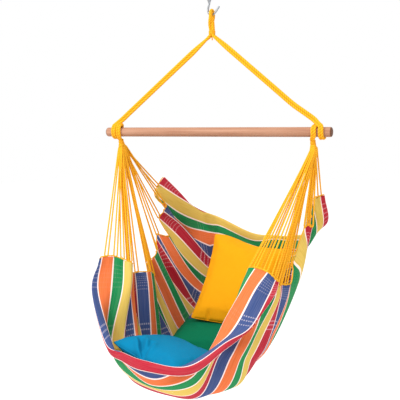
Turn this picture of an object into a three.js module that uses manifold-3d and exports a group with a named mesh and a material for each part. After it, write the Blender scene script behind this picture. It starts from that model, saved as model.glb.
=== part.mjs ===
import * as THREE from 'three';
import Module from 'manifold-3d';
const wasm = await Module(); wasm.setup();

// Hammock chair. Millimetres, +Z up. Everything is first laid out with the
// spreader bar's axis on X at z = 0, then moved so that the point the chair
// hangs from is the origin.

// ---- driving dimensions --------------------------------------------------
const HANG_X = -12, HANG_Z = 610;       // hanging point, from the bar's centre
const BAR_L = 981, BAR_C = 4.5, BAR_R = 19, BAR_ROUND = 7;   // BAR_C: middle of the bar
const ROPE_R = 4.75;                    // suspension rope
const TURN_R = BAR_R + ROPE_R + 0.4;    // centre radius of a hitch turn
const CORD_R = 2.1;                     // fan cord
const SEIZE_Z = 394;                    // where the rope loop is closed
const LEG_L = [-427, 41], LEG_R = [433, 41];
const TURNS_L = [-447.9, -437.9, -425, -415], TURNS_R = [461.2, 451.2, 432.7, 422.7];
const ROD_R = 3.25;                     // hook rod
const EYE_R = 15, EYE_ROD = 3.5;
const FAN_X = 420, FAN_Z = -48, FAN_RHO = 30;
const CLOTH_T = 3;
const STRIPES = 36;

// ---- helpers ---------------------------------------------------------------
const V = (x, y, z) => new THREE.Vector3(x, y, z);
const group = new THREE.Group();
group.name = 'hammock_chair';

const COLOR = {
  steel: 0x9a9da0, bar: 0xd79c78, rope: 0xf4b426, cord: 0xe8ae2c,
  whip: 0xdba126, cloth: 0xe4c35f, yellow: 0xfcb824, green: 0x027c56, turquoise: 0x0e96c4,
};

function add(name, geom, color, metal = 0, rough = 0.8) {
  const g = geom.clone();
  g.translate(-HANG_X, 0, -HANG_Z);
  g.computeVertexNormals();
  const mesh = new THREE.Mesh(g, new THREE.MeshStandardMaterial({ color, metalness: metal, roughness: rough }));
  mesh.name = name;
  group.add(mesh);
  return mesh;
}

// a path whose samples are exactly the given points
class PolyPath extends THREE.Curve {
  constructor(pts) { super(); this.pts = pts; }
  index(t) { return Math.min(this.pts.length - 1, Math.max(0, Math.round(t * (this.pts.length - 1)))); }
  getPoint(t, target = V(0, 0, 0)) { return target.copy(this.pts[this.index(t)]); }
  getPointAt(u, target = V(0, 0, 0)) { return this.getPoint(u, target); }
  getTangent(t, target = V(0, 0, 0)) {
    const i = this.index(t), n = this.pts.length - 1;
    const a = this.pts[Math.max(0, i - 1)], b = this.pts[i], c = this.pts[Math.min(n, i + 1)];
    const d1 = b.clone().sub(a), d2 = c.clone().sub(b);
    if (d1.lengthSq() > 0) d1.normalize();
    if (d2.lengthSq() > 0) d2.normalize();
    return target.copy(d1.add(d2).normalize());
  }
  getTangentAt(u, target = V(0, 0, 0)) { return this.getTangent(u, target); }
}

function circle(r, sides) {
  const p = [];
  for (let i = 0; i < sides; i++) {
    const a = 2 * Math.PI * (i + 0.5) / sides;
    p.push(new THREE.Vector2(r * Math.cos(a), r * Math.sin(a)));
  }
  return new THREE.Shape(p);
}

function tube(pts, r, sides) {
  const g = new THREE.ExtrudeGeometry(circle(r, sides), { steps: pts.length - 1, extrudePath: new PolyPath(pts), curveSegments: 1 });
  return outward(weld(g));
}

function weld(g) {
  const src = g.index ? g.toNonIndexed() : g;
  const p = src.attributes.position, map = new Map(), pos = [], idx = [];
  for (let i = 0; i < p.count; i++) {
    const k = [p.getX(i), p.getY(i), p.getZ(i)].map((v) => Math.round(v * 1e4)).join(',');
    if (!map.has(k)) { map.set(k, pos.length / 3); pos.push(p.getX(i), p.getY(i), p.getZ(i)); }
    idx.push(map.get(k));
  }
  const tri = [];
  for (let i = 0; i < idx.length; i += 3) {
    const [a, b, c] = [idx[i], idx[i + 1], idx[i + 2]];
    if (a !== b && b !== c && c !== a) tri.push(a, b, c);
  }
  return indexed(pos, tri);
}

function indexed(pos, tri) {
  const g = new THREE.BufferGeometry();
  g.setAttribute('position', new THREE.Float32BufferAttribute(pos, 3));
  g.setIndex(tri);
  return g;
}

function outward(g) {
  const p = g.attributes.position, ix = g.index.array;
  let v = 0;
  const a = V(0, 0, 0), b = V(0, 0, 0), c = V(0, 0, 0);
  for (let i = 0; i < ix.length; i += 3) {
    a.fromBufferAttribute(p, ix[i]); b.fromBufferAttribute(p, ix[i + 1]); c.fromBufferAttribute(p, ix[i + 2]);
    v += a.dot(b.cross(c));
  }
  if (v < 0) {
    const t = Array.from(ix);
    for (let i = 0; i < t.length; i += 3) [t[i + 1], t[i + 2]] = [t[i + 2], t[i + 1]];
    g.setIndex(t);
  }
  return g;
}

// profile [[r, z], ...] turned about Z; starts and ends on the axis or closes
function lathe(profile, seg) {
  return outward(weld(new THREE.LatheGeometry(profile.map(([r, z]) => new THREE.Vector2(r, z)), seg).rotateX(Math.PI / 2)));
}

function solid(g) {
  return new wasm.Manifold(new wasm.Mesh({
    numProp: 3,
    vertProperties: new Float32Array(g.attributes.position.array),
    triVerts: new Uint32Array(g.index.array),
  }));
}
function fromSolid(m) {
  const me = m.getMesh(), pos = [];
  for (let i = 0; i < me.vertProperties.length; i += me.numProp) pos.push(me.vertProperties[i], me.vertProperties[i + 1], me.vertProperties[i + 2]);
  return indexed(pos, Array.from(me.triVerts));
}

function catmull(a, b, c, d, f) {
  return 0.5 * (2 * b + (c - a) * f + (2 * a - 5 * b + 4 * c - d) * f * f + (3 * b - a - 3 * c + d) * f * f * f);
}
function along(P, t) {                  // Catmull-Rom through an array of points
  const n = P.length, i = Math.min(Math.max(Math.floor(t), 0), n - 2), f = t - i;
  const p1 = P[i], p2 = P[i + 1];
  const p0 = i > 0 ? P[i - 1] : p1.map((v, k) => 2 * v - p2[k]);
  const p3 = i + 2 < n ? P[i + 2] : p2.map((v, k) => 2 * v - p1[k]);
  return [0, 1, 2].map((k) => catmull(p0[k], p1[k], p2[k], p3[k], f));
}

// ---- swivel ---------------------------------------------------------------
{
  const ring = outward(weld(new THREE.TorusGeometry(EYE_R, EYE_ROD, 8, 22).rotateX(Math.PI / 2)));
  ring.translate(HANG_X, 0, HANG_Z - EYE_R + EYE_ROD);
  const stem = lathe([[0, 543.6], [6.6, 543.6], [6.6, 549.2], [4.0, 549.2], [4.0, 566], [7.2, 568.5], [7.2, 574],
    [5.0, 577], [4.2, 582], [0, 582]], 16);
  stem.translate(HANG_X, 0, 0);
  add('swivel_eye', fromSolid(solid(ring).add(solid(stem))), COLOR.steel, 0.9, 0.35);
}
add('swivel_barrel', lathe([[0, 506], [3.6, 506], [4.6, 509], [8.6, 522], [11.2, 530], [11.5, 534], [11.5, 552], [10.4, 557],
  [8.4, 560], [4.6, 560], [4.6, 549.6], [7.2, 549.6], [7.2, 536], [0, 536]], 18).translate(HANG_X, 0, 0), COLOR.steel, 0.9, 0.35);

// hook rod: down the left, under the rope, open tip up to the right
const HOOK = [[-12, 505.6], [-12.1, 503.6], [-13.6, 499.5], [-16.4, 490], [-17, 481], [-15.8, 472.5], [-12.2, 466.6], [-6.8, 463.6], [0, 462.8],
  [6, 464.4], [11.5, 468.2], [17, 474.5], [22.3, 481.4], [27.2, 487.9], [32, 494.4]];
add('hanging_hook', tube(HOOK.map(([x, z]) => V(x, 0, z)), ROD_R, 10), COLOR.steel, 0.9, 0.35);

// ---- rope loops over the hook ----------------------------------------------
const IN_R = ROD_R + ROPE_R + 0.35, APEX = 462.8, TOP_GAP = 2 * ROPE_R + 0.35;
function loopHalf(outer) {              // y >= 0 half, from the apex down
  const pts = [];
  for (let i = 0; i <= 5; i++) {
    const a = (i / 5) * Math.PI / 2, r = IN_R + (outer ? TOP_GAP : 0);
    pts.push([0, r * Math.sin(a), APEX + r * Math.cos(a)]);
  }
  for (let i = 1; i <= 7; i++) {
    const f = i / 7, z = APEX - f * (APEX - (SEIZE_Z + 1.3)), s = f * f * (3 - 2 * f);
    const x = 5.1 * s, y = IN_R + (5.1 - IN_R) * s;
    if (!outer) pts.push([x, y, z]);
    else {
      const q = s * Math.PI / 2;
      pts.push([x - (TOP_GAP + 0.6 * Math.sin(2 * q)) * Math.sin(q), y + (TOP_GAP + 0.6 * Math.sin(2 * q)) * Math.cos(q), z]);
    }
  }
  return pts;
}
for (const outer of [false, true]) {
  const h = loopHalf(outer).map(([x, y, z]) => V(x, y, z));
  const other = h.slice(1).map((p) => V(p.x, -p.y, p.z));
  add(outer ? 'rope_loop_outer' : 'rope_loop_inner', tube([...h.reverse(), ...other], ROPE_R, 8), COLOR.rope);
}

// ---- seizing, rope legs, hitches, bar ---------------------------------------
add('rope_seizing', lathe([[13.3, 387.6], [14.8, 387.6], [15.6, 389.8], [14.8, 392], [15.6, 394.3], [14.8, 396.6], [15.6, 398.8], [14.8, 401],
  [13.3, 401], [13.3, 387.6]], 18), COLOR.whip);

// two strands a side: side by side in the seizing, one above the other on the
// way down, each ending on top of the hitch
const LAND = { '-1': [[-431.5, 33.7], [-441.7, 39.6]], '1': [[439, 33.7], [449, 40.3]] };
function leg(sign, end, strand) {
  const C = [[5.1 * sign, SEIZE_Z - 1.3], [5.3 * sign, 386.5], [8.2 * sign, 379.5]];
  const d = [end[0] - C[2][0], end[1] - C[2][1]], L = Math.hypot(...d);
  const steps = [0.05, 0.1, 0.16, 0.24, 0.34, 0.46, 0.6, 0.77, 0.88, 1];
  const slack = (s) => (sign > 0 ? 10 * (s < 0.77 ? s / 0.77 : (1 - s) / 0.23) : 0);   // the right leg hangs a little
  const out = C.map(([x, z]) => V(x, 5.1 * strand, z));
  const n = [-d[1] / L * sign, d[0] / L * sign];       // across the leg, upward
  const up = n[1] > 0 ? n : [-n[0], -n[1]];
  for (const s of steps) {
    const q = Math.min(1, s / 0.34) * Math.PI / 2, y = 5.1 * Math.cos(q) * strand, o = 5.1 * Math.sin(q) * strand;
    out.push(V(C[2][0] + d[0] * s + up[0] * o, y, C[2][1] + d[1] * s + up[1] * o - slack(s)));
  }
  const [fx, fz] = LAND[sign][strand > 0 ? 1 : 0];
  out.push(V(fx, 0, fz));
  return out;
}
for (const [side, sign, end] of [['left', -1, LEG_L], ['right', 1, LEG_R]]) {
  add(`rope_leg_${side}_a`, tube(leg(sign, end, 1), ROPE_R, 8), COLOR.rope);
  add(`rope_leg_${side}_b`, tube(leg(sign, end, -1), ROPE_R, 8), COLOR.rope);
}
add('rope_tail', tube([V(0.6, 0, 379), V(0.4, 0, 372), V(1.6, 0, 361)], 2.4, 8), COLOR.rope);

TURNS_L.forEach((x, i) => add(`hitch_left_turn_${i + 1}`, weldTurn(x), COLOR.rope));
TURNS_R.forEach((x, i) => add(`hitch_right_turn_${i + 1}`, weldTurn(x), COLOR.rope));
function weldTurn(x) {
  return outward(weld(new THREE.TorusGeometry(TURN_R, ROPE_R, 7, 20).rotateY(Math.PI / 2))).translate(x, 0, 0);
}

{
  const h = BAR_L / 2, p = [[0, -h]];
  for (let i = 0; i <= 4; i++) {
    const a = (i / 4) * Math.PI / 2;
    p.push([BAR_R - BAR_ROUND + BAR_ROUND * Math.sin(a), -h + BAR_ROUND * (1 - Math.cos(a))]);
  }
  const q = p.map(([r, z]) => [r, -z]).reverse();
  add('spreader_bar', lathe([...p, ...q], 22).rotateY(Math.PI / 2).translate(BAR_C, 0, 0), COLOR.bar, 0, 0.55);
}

// ---- cloth -------------------------------------------------------------------
// ten lines down the cloth (left edge first), 37 points each: the stripe
// boundaries from the back's top edge to the front hem
const NET = [
  [-357.8,275.4,-200.5, -374.4,253.4,-233.6, -387.1,238.3,-282.7, -362.6,249.4,-318.9, -341.1,261.5,-328.1, -348.0,250.0,-356.9, -367.5,243.3,-388.7, -348.0,258.9,-439.4, -328.4,259.9,-470.4, -364.6,222.4,-461.0, -361.1,204.1,-479.4, -352.9,185.6,-501.8, -338.2,162.2,-523.8, -325.5,114.7,-543.0, -348.0,92.1,-567.5, -333.3,78.2,-599.4, -305.9,72.5,-618.3, -313.7,59.9,-616.9, -328.4,51.0,-616.5, -302.0,38.2,-612.4, -308.8,33.0,-612.1, -308.8,15.2,-609.1, -276.6,8.9,-597.2, -264.8,-34.7,-580.8, -261.9,-74.6,-574.2, -301.0,-101.2,-576.8, -315.7,-100.3,-586.3, -328.4,-94.8,-592.4, -301.0,-109.5,-579.7, -308.8,-120.4,-570.2, -323.5,-119.0,-554.8, -286.3,-144.4,-532.0, -315.7,-164.1,-514.6, -348.9,-187.8,-499.2, -382.2,-223.4,-498.2, -392.0,-220.6,-507.3, -408.6,-176.8,-510.6],
  [-306.2,338.9,-280.4, -308.8,313.4,-292.4, -308.8,333.3,-369.7, -303.9,364.6,-425.8, -304.3,365.2,-458.4, -297.5,333.6,-431.9, -308.8,301.7,-467.5, -274.6,303.5,-566.8, -255.0,325.6,-628.7, -283.4,257.5,-619.9, -276.2,221.1,-608.2, -325.1,210.7,-617.7, -289.3,201.1,-651.9, -299.1,181.0,-671.6, -333.3,151.2,-669.1, -318.6,123.3,-680.8, -289.3,95.4,-695.5, -308.8,81.7,-690.1, -323.5,67.5,-719.5, -299.1,58.4,-720.0, -303.9,49.4,-718.6, -299.1,31.4,-706.1, -266.8,16.5,-679.0, -257.0,-28.4,-665.7, -253.1,-70.4,-653.4, -296.1,-96.1,-656.5, -313.7,-97.1,-682.8, -323.5,-104.8,-682.2, -296.1,-115.5,-669.5, -303.9,-130.6,-667.3, -318.6,-145.7,-665.7, -282.4,-167.7,-638.1, -313.7,-183.1,-633.8, -352.9,-203.3,-633.2, -396.9,-232.8,-631.4, -416.4,-246.4,-630.5, -429.2,-191.5,-650.5],
  [-237.2,407.4,-389.9, -240.4,392.5,-353.8, -225.7,404.6,-417.0, -215.9,405.3,-456.1, -206.1,406.1,-519.1, -201.6,418.6,-577.6, -191.4,395.9,-626.0, -191.4,373.5,-664.3, -196.3,373.1,-706.5, -201.2,328.7,-726.7, -211.0,306.4,-781.0, -215.9,295.4,-800.0, -220.8,273.7,-841.8, -233.5,248.0,-865.0, -264.8,220.0,-875.6, -255.0,180.4,-874.6, -235.5,165.9,-873.8, -245.3,131.4,-893.6, -255.0,121.6,-905.6, -240.4,112.0,-888.5, -269.7,74.4,-900.2, -274.6,46.7,-894.2, -245.3,21.5,-867.6, -245.3,-13.8,-859.2, -255.0,-52.1,-851.2, -289.3,-84.5,-851.3, -279.5,-85.1,-846.0, -299.1,-100.8,-852.7, -279.5,-116.1,-834.4, -284.4,-132.3,-831.2, -323.5,-164.7,-844.2, -308.8,-179.1,-826.8, -348.0,-211.6,-835.6, -362.6,-228.2,-833.1, -315.7,-278.2,-804.1, -318.9,-310.4,-818.3, -330.4,-280.3,-845.3],
  [-189.8,420.6,-414.7, -184.1,392.5,-372.8, -175.8,396.0,-422.7, -166.0,396.4,-460.8, -168.7,396.7,-517.2, -163.2,403.0,-555.8, -164.6,391.5,-583.3, -166.5,377.8,-614.1, -171.1,371.9,-652.3, -176.4,342.8,-680.4, -185.6,323.4,-726.0, -193.3,307.5,-755.3, -200.8,284.8,-796.0, -211.5,258.4,-827.0, -231.3,228.8,-851.4, -230.2,192.4,-868.6, -223.8,167.5,-884.1, -231.7,131.5,-908.3, -238.5,107.8,-926.4, -232.4,85.0,-928.0, -248.0,47.9,-942.6, -251.1,16.0,-946.4, -236.9,-15.1,-939.0, -237.2,-51.1,-939.7, -242.3,-87.5,-938.6, -259.3,-119.0,-939.8, -253.7,-133.7,-937.8, -262.3,-155.9,-942.2, -241.5,-178.0,-939.6, -230.8,-201.5,-942.6, -248.0,-225.7,-975.5, -254.8,-264.9,-946.3, -252.0,-308.9,-909.9, -224.0,-343.1,-874.9, -203.7,-377.4,-857.2, -197.6,-387.1,-823.2, -187.9,-396.9,-857.8],
  [-127.4,410.1,-419.9, -119.8,380.8,-391.4, -117.7,375.9,-427.8, -107.7,375.9,-464.7, -122.5,375.9,-519.1, -125.7,375.9,-529.5, -127.9,375.9,-538.0, -130.7,371.2,-559.9, -133.8,359.9,-592.2, -137.7,346.5,-626.0, -143.7,330.8,-659.5, -151.2,310.6,-694.7, -157.2,287.8,-728.8, -161.2,261.7,-761.4, -164.5,231.8,-793.1, -167.0,199.8,-821.7, -169.2,165.6,-847.1, -171.1,128.9,-870.3, -171.9,92.2,-890.2, -171.9,56.3,-907.2, -171.9,20.5,-922.0, -171.9,-15.4,-934.2, -171.9,-52.1,-944.5, -171.9,-88.8,-953.5, -171.9,-123.0,-958.6, -171.3,-153.6,-960.5, -169.6,-182.4,-961.7, -167.0,-211.1,-963.5, -135.2,-238.4,-971.0, -79.5,-265.7,-982.0, -45.5,-299.1,-998.8, -54.0,-348.0,-968.9, -55.7,-392.0,-940.7, -51.8,-426.3,-919.5, -28.2,-450.7,-887.1, -57.8,-470.3,-819.2, -50.3,-480.1,-854.1],
  [11.3,419.9,-478.3, 21.4,393.5,-449.7, 22.8,390.5,-483.1, 22.9,390.5,-505.8, 82.4,390.5,-523.3, 76.9,389.1,-543.7, 67.8,385.6,-567.4, 60.6,379.4,-596.7, 53.7,369.1,-630.4, 48.2,356.3,-665.2, 43.7,338.2,-701.1, 40.0,313.9,-738.1, 38.4,287.8,-772.8, 38.4,260.7,-804.3, 38.4,231.3,-833.7, 38.4,199.8,-860.8, 38.4,165.2,-886.0, 38.4,128.1,-909.3, 38.4,92.2,-929.3, 40.3,58.9,-946.3, 44.2,26.6,-961.2, 48.2,-5.6,-973.3, 50.9,-38.6,-984.3, 62.5,-71.6,-995.2, 95.7,-103.5,-989.4, 130.8,-130.8,-982.4, 156.4,-157.2,-975.3, 150.0,-191.5,-978.9, 140.2,-250.2,-975.4, 124.6,-308.9,-968.8, 111.4,-357.8,-957.9, 118.6,-411.6,-928.0, 127.0,-445.8,-891.1, 127.0,-470.3,-858.9, 116.8,-468.9,-811.5, 132.4,-509.4,-805.7, 141.5,-504.5,-836.0],
  [134.9,395.4,-477.7, 138.7,371.0,-454.4, 140.6,366.1,-469.2, 140.8,366.1,-518.0, 204.7,375.9,-489.1, 198.6,374.3,-503.1, 190.0,371.0,-528.2, 185.9,365.4,-552.1, 182.7,356.9,-578.5, 180.3,346.5,-606.5, 178.0,333.5,-636.7, 176.2,316.8,-668.6, 175.4,297.6,-699.4, 175.4,274.8,-728.2, 175.4,248.1,-756.0, 175.4,219.3,-782.6, 176.2,187.9,-809.1, 178.0,154.2,-834.5, 180.3,121.5,-855.9, 182.7,91.5,-875.1, 185.8,62.5,-891.8, 190.0,33.5,-899.9, 196.0,7.0,-901.3, 224.5,-25.2,-888.9, 238.5,-83.9,-870.8, 254.8,-132.8,-856.2, 245.8,-181.7,-844.5, 235.0,-220.8,-835.5, 235.8,-260.0,-825.3, 208.3,-299.1,-818.3, 171.7,-328.4,-813.4, 179.0,-357.8,-799.1, 183.7,-377.4,-782.6, 185.0,-406.7,-747.9, 222.9,-440.9,-728.6, 257.6,-460.5,-719.8, 256.0,-465.4,-745.0],
  [215.5,390.5,-463.8, 217.2,371.0,-452.5, 208.2,371.0,-470.6, 219.3,366.1,-509.0, 239.2,362.9,-508.9, 262.1,360.1,-508.8, 273.2,356.3,-508.7, 272.5,349.3,-518.9, 270.8,338.9,-542.2, 268.3,326.9,-567.4, 262.6,313.1,-592.0, 254.4,296.4,-619.1, 248.7,278.0,-645.6, 246.3,257.2,-671.7, 244.5,233.9,-697.5, 243.8,209.6,-719.0, 244.6,184.0,-737.0, 246.6,157.4,-752.5, 248.7,131.3,-763.0, 250.6,108.1,-768.4, 253.6,82.4,-772.8, 266.7,45.5,-779.5, 282.9,4.2,-783.7, 291.1,-35.0,-773.9, 289.8,-74.1,-765.0, 294.3,-93.7,-760.1, 282.1,-142.6,-750.1, 266.5,-171.9,-744.9, 264.9,-201.3,-738.4, 228.5,-240.4,-748.1, 214.6,-264.9,-751.4, 206.8,-284.4,-747.5, 201.2,-308.9,-727.6, 205.6,-338.2,-661.9, 258.5,-372.5,-678.2, 309.6,-367.6,-684.9, 301.9,-357.8,-695.1],
  [384.1,326.9,-387.3, 363.9,322.1,-404.8, 340.9,312.3,-434.7, 309.9,307.4,-482.8, 288.6,309.8,-491.2, 277.4,312.3,-494.0, 280.5,307.9,-493.0, 286.4,298.1,-491.1, 289.5,287.8,-490.0, 287.5,278.7,-500.1, 283.8,269.0,-518.9, 281.7,258.5,-529.1, 287.8,246.2,-523.9, 299.5,232.8,-514.4, 307.1,219.3,-509.2, 308.7,206.6,-515.3, 309.7,193.9,-526.5, 311.2,180.2,-532.5, 322.4,166.6,-523.6, 340.4,151.8,-507.1, 351.1,131.3,-498.2, 365.5,92.2,-497.7, 359.9,43.3,-572.5, 330.7,-25.2,-650.8, 340.2,-64.3,-645.1, 331.6,-108.3,-633.5, 332.9,-132.8,-628.7, 322.4,-152.4,-625.8, 288.7,-181.7,-641.9, 268.3,-201.3,-632.3, 252.1,-220.8,-618.6, 239.8,-250.2,-599.1, 239.7,-284.4,-567.0, 261.1,-304.0,-550.8, 310.9,-323.6,-557.8, 352.7,-304.0,-583.1, 371.8,-294.2,-583.3],
  [387.2,287.8,-263.6, 367.9,287.8,-266.3, 336.4,278.0,-282.6, 331.5,273.1,-291.6, 326.1,266.5,-297.6, 323.1,258.5,-303.3, 329.3,249.4,-306.6, 341.1,239.2,-309.1, 347.3,229.1,-312.3, 345.3,219.3,-317.8, 341.5,209.6,-324.7, 339.4,199.8,-330.7, 346.2,190.3,-335.1, 358.8,180.8,-338.9, 365.5,170.4,-343.2, 363.8,158.2,-348.3, 360.6,144.8,-354.0, 358.9,131.3,-359.9, 366.9,119.0,-366.9, 381.8,106.7,-374.1, 393.0,92.2,-376.2, 367.1,72.6,-379.3, 336.1,33.5,-509.0, 346.0,-5.6,-537.9, 350.1,-44.8,-581.8, 332.5,-93.7,-578.5, 331.3,-113.2,-579.0, 323.0,-132.8,-578.1, 297.4,-152.4,-559.6, 280.6,-171.9,-542.4, 267.8,-201.3,-523.4, 253.4,-230.6,-504.9, 262.8,-264.9,-493.3, 299.2,-294.2,-484.4, 350.4,-304.0,-495.4, 373.6,-284.4,-523.8, 381.6,-269.8,-532.9],
];
const columns = NET.map((c) => { const o = []; for (let i = 0; i < c.length; i += 3) o.push([c[i], c[i + 1], c[i + 2]]); return o; });
const clothAt = (u, k) => along(columns.map((c) => along(c, k)), u * (columns.length - 1));

{
  const NU = 29, NV = STRIPES, S = [];
  for (let a = 0; a <= NV; a++) { S.push([]); for (let i = 0; i <= NU; i++) S[a].push(V(...clothAt(i / NU, a))); }
  const nrm = (a, i) => {
    const du = S[a][Math.min(NU, i + 1)].clone().sub(S[a][Math.max(0, i - 1)]);
    const dv = S[Math.min(NV, a + 1)][i].clone().sub(S[Math.max(0, a - 1)][i]);
    return dv.cross(du).normalize();
  };
  const pos = [], tri = [], id = (s, a, i) => s * (NV + 1) * (NU + 1) + a * (NU + 1) + i;
  for (const s of [1, -1]) for (let a = 0; a <= NV; a++) for (let i = 0; i <= NU; i++) {
    const p = S[a][i].clone().addScaledVector(nrm(a, i), s * CLOTH_T / 2);
    pos.push(p.x, p.y, p.z);
  }
  const quad = (a, b, c, d) => tri.push(a, b, c, a, c, d);
  for (let a = 0; a < NV; a++) for (let i = 0; i < NU; i++) {
    quad(id(0, a, i), id(0, a + 1, i), id(0, a + 1, i + 1), id(0, a, i + 1));
    quad(id(1, a, i), id(1, a, i + 1), id(1, a + 1, i + 1), id(1, a + 1, i));
  }
  for (let a = 0; a < NV; a++) {
    quad(id(0, a, 0), id(1, a, 0), id(1, a + 1, 0), id(0, a + 1, 0));
    quad(id(0, a + 1, NU), id(1, a + 1, NU), id(1, a, NU), id(0, a, NU));
  }
  for (let i = 0; i < NU; i++) {
    quad(id(0, 0, i + 1), id(1, 0, i + 1), id(1, 0, i), id(0, 0, i));
    quad(id(0, NV, i), id(1, NV, i), id(1, NV, i + 1), id(0, NV, i + 1));
  }
  add('fabric_sling', outward(indexed(pos, tri)), COLOR.cloth, 0, 0.9);
}

// ---- fan cords -----------------------------------------------------------------
// each cord runs from the gathering to the cloth's edge, through it and back
const ANCHOR_L = [1.2, 4.4, 5.9, 9, 11.8, 13.8, 16.3, 19.5, 23, 24.8, 27, 29.5, 31.4, 32.15, 32.85, 33.6];
const ANCHOR_R = [1.1, 3, 8, 12, 16, 20.2, 20.9, 24.55, 25.3, 27, 29.5, 32.2, 33, 33.8, 34.6, 35.5];
const ANGLE_L = [24, 109], ANGLE_R = [28, 118];
const COLS = [-8.4, -2.8, 2.8, 8.4];
function fan(side) {
  const s = side === 'left' ? -1 : 1, ks = s < 0 ? ANCHOR_L : ANCHOR_R, u = s < 0 ? 0 : 1, ang = s < 0 ? ANGLE_L : ANGLE_R;
  const C = V(s * FAN_X, 0, FAN_Z), starts = [], cords = [];
  const anchors = ks.map((k) => ({ k, p: V(...clothAt(u, k)), t: V(...clothAt(u, k + 0.3)).sub(V(...clothAt(u, k - 0.3))).normalize(),
    inward: V(...clothAt(s < 0 ? 0.02 : 0.98, k)) }));
  const turn = (p) => Math.atan2(C.z - p.z, p.y);
  anchors.sort((a, b) => turn(a.p) - turn(b.p));
  for (let r = 0; r < 8; r++) {
    const pair = [anchors[2 * r], anchors[2 * r + 1]].map((a, j) => ({ ...a, n: 2 * r + j }));
    pair.sort((a, b) => a.p.x - b.p.x);
    const th = THREE.MathUtils.degToRad(ang[0] + (ang[1] - ang[0]) * r / 7);
    pair.forEach((a, j) => {
      const st = [COLS[2 * j], COLS[2 * j + 1]].map((x) => V(C.x + x, C.y + FAN_RHO * Math.cos(th), C.z - FAN_RHO * Math.sin(th)));
      const out = a.p.clone().sub(a.inward).normalize();
      const toC = C.clone().sub(a.p).normalize();
      const dir = toC.clone().multiplyScalar(0.85).addScaledVector(out, 0.15).normalize();
      let t = a.t.clone().addScaledVector(dir, -a.t.dot(dir)).normalize();
      const half = 7, gap = 5, base = a.p.clone().addScaledVector(dir, gap + half * 0.55);
      // the leg that starts at the smaller x keeps the side nearer to it
      const across = st[1].clone().sub(st[0]).normalize();
      if (t.dot(across) < 0) t.negate();
      const bend = [];
      for (let i = 0; i <= 6; i++) {
        const q = Math.PI * i / 6;
        bend.push(base.clone().addScaledVector(t, -half * Math.cos(q)).addScaledVector(dir, -half * 0.55 * Math.sin(q)));
      }
      const l0 = st[0].clone().lerp(bend[0], 0.5), l1 = bend[6].clone().lerp(st[1], 0.5);
      cords.push({ n: a.n + 1, pts: [st[0], l0, ...bend, l1, st[1]] });
      starts.push(...st);
    });
  }
  cords.sort((a, b) => a.n - b.n);
  cords.forEach((c) => add(`fan_cord_${side}_${String(c.n).padStart(2, '0')}`, tube(c.pts, CORD_R, 6), COLOR.cord));
  // the gathering: a whipped neck that opens to the fan's first points
  const pts = [];
  for (let i = 0; i < 16; i++) {
    const a = 2 * Math.PI * i / 16;
    pts.push([C.x + 8 * Math.cos(a), 8 * Math.sin(a), -30], [C.x + 12.5 * Math.cos(a), 12.5 * Math.sin(a), -40]);
  }
  for (const p of starts) {
    const d = p.clone().sub(V(p.x, 0, FAN_Z)).normalize();
    const q = p.clone().addScaledVector(d, -0.9);
    pts.push([q.x, q.y, q.z]);
  }
  add(`gather_${side}`, fromSolid(wasm.Manifold.hull(pts)), COLOR.whip);
}
fan('left'); fan('right');

// ---- cushions -------------------------------------------------------------------
// u and v run from -1 to 1 across and up the cushion. shift moves the top-left,
// top-right, bottom-left and bottom-right corners in its plane; drop lets the
// middle of its top edge sink
const ease = (a, b, x) => { const t = Math.min(1, Math.max(0, (x - a) / (b - a))); return t * t * (3 - 2 * t); };
const CORNERS = [[-1, 1], [1, 1], [-1, -1], [1, -1]];
function cushion(name, color, { c, w, d, h, yaw, pitch, roll, spin, px = 0.05, py = 0.05, cc = 0.05, bend = 0, q = 0.42, shift = [], drop = 0 }, n = 10) {
  const R = new THREE.Matrix4();
  const D = THREE.MathUtils.degToRad;
  R.makeRotationZ(D(yaw)).multiply(new THREE.Matrix4().makeRotationX(D(pitch))).multiply(new THREE.Matrix4().makeRotationY(D(roll)))
    .multiply(new THREE.Matrix4().makeRotationZ(D(spin)));
  const s = Array.from({ length: n + 1 }, (_, i) => -Math.cos(Math.PI * i / n) * 0.55 + (2 * i / n - 1) * 0.45);
  const pos = [], map = new Map(), tri = [];
  const at = (f, i, j) => {
    const edge = i === 0 || j === 0 || i === n || j === n, key = `${edge ? 0 : f},${i},${j}`;
    if (!map.has(key)) {
      const u = s[i], v = s[j], k = 1 - cc * u * u * v * v;
      const z = f * h / 2 * Math.pow(Math.max(0, (1 - u * u) * (1 - v * v)), q) * (edge ? 0 : 1) + bend * u * u;
      let x = w / 2 * u * (1 - px * (1 - v * v)) * k, y = d / 2 * v * (1 - py * (1 - u * u)) * k;
      shift.forEach(([dx, dy], m) => {
        const g = (1 + CORNERS[m][0] * u) / 2 * (1 + CORNERS[m][1] * v) / 2;
        x += dx * g; y += dy * g;
      });
      y -= drop * (1 + v) / 2 * (ease(-0.85, 0.25, u) - 0.26 * ease(0.6, 1, u));
      const P = V(x, y, z).applyMatrix4(R);
      map.set(key, pos.length / 3);
      pos.push(P.x + c[0], P.y + c[1], P.z + c[2]);
    }
    return map.get(key);
  };
  for (let i = 0; i < n; i++) for (let j = 0; j < n; j++) for (const f of [1, -1]) {
    const a = at(f, i, j), b = at(f, i + 1, j), e = at(f, i + 1, j + 1), g = at(f, i, j + 1);
    if (f > 0) tri.push(a, b, e, a, e, g); else tri.push(a, e, b, a, g, e);
  }
  add(name, outward(indexed(pos, tri)), color, 0, 0.9);
}
cushion('cushion_front', COLOR.turquoise, { c: [-60.2, -233.7, -869.9], w: 437.3, d: 310.8, h: 112.787, yaw: -18.7, pitch: -7.371, roll: 4.673, spin: -9.5, bend: 9.8 });
cushion('cushion_middle', COLOR.green, { c: [9.5, 60.2, -852.4], w: 456, d: 244.5, h: 77, yaw: -2.4, pitch: 21.8, roll: -5.5, spin: -1.2, bend: 7.8, shift: [[0, 0], [0, -40], [0, 5], [0, 6]] });
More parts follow.
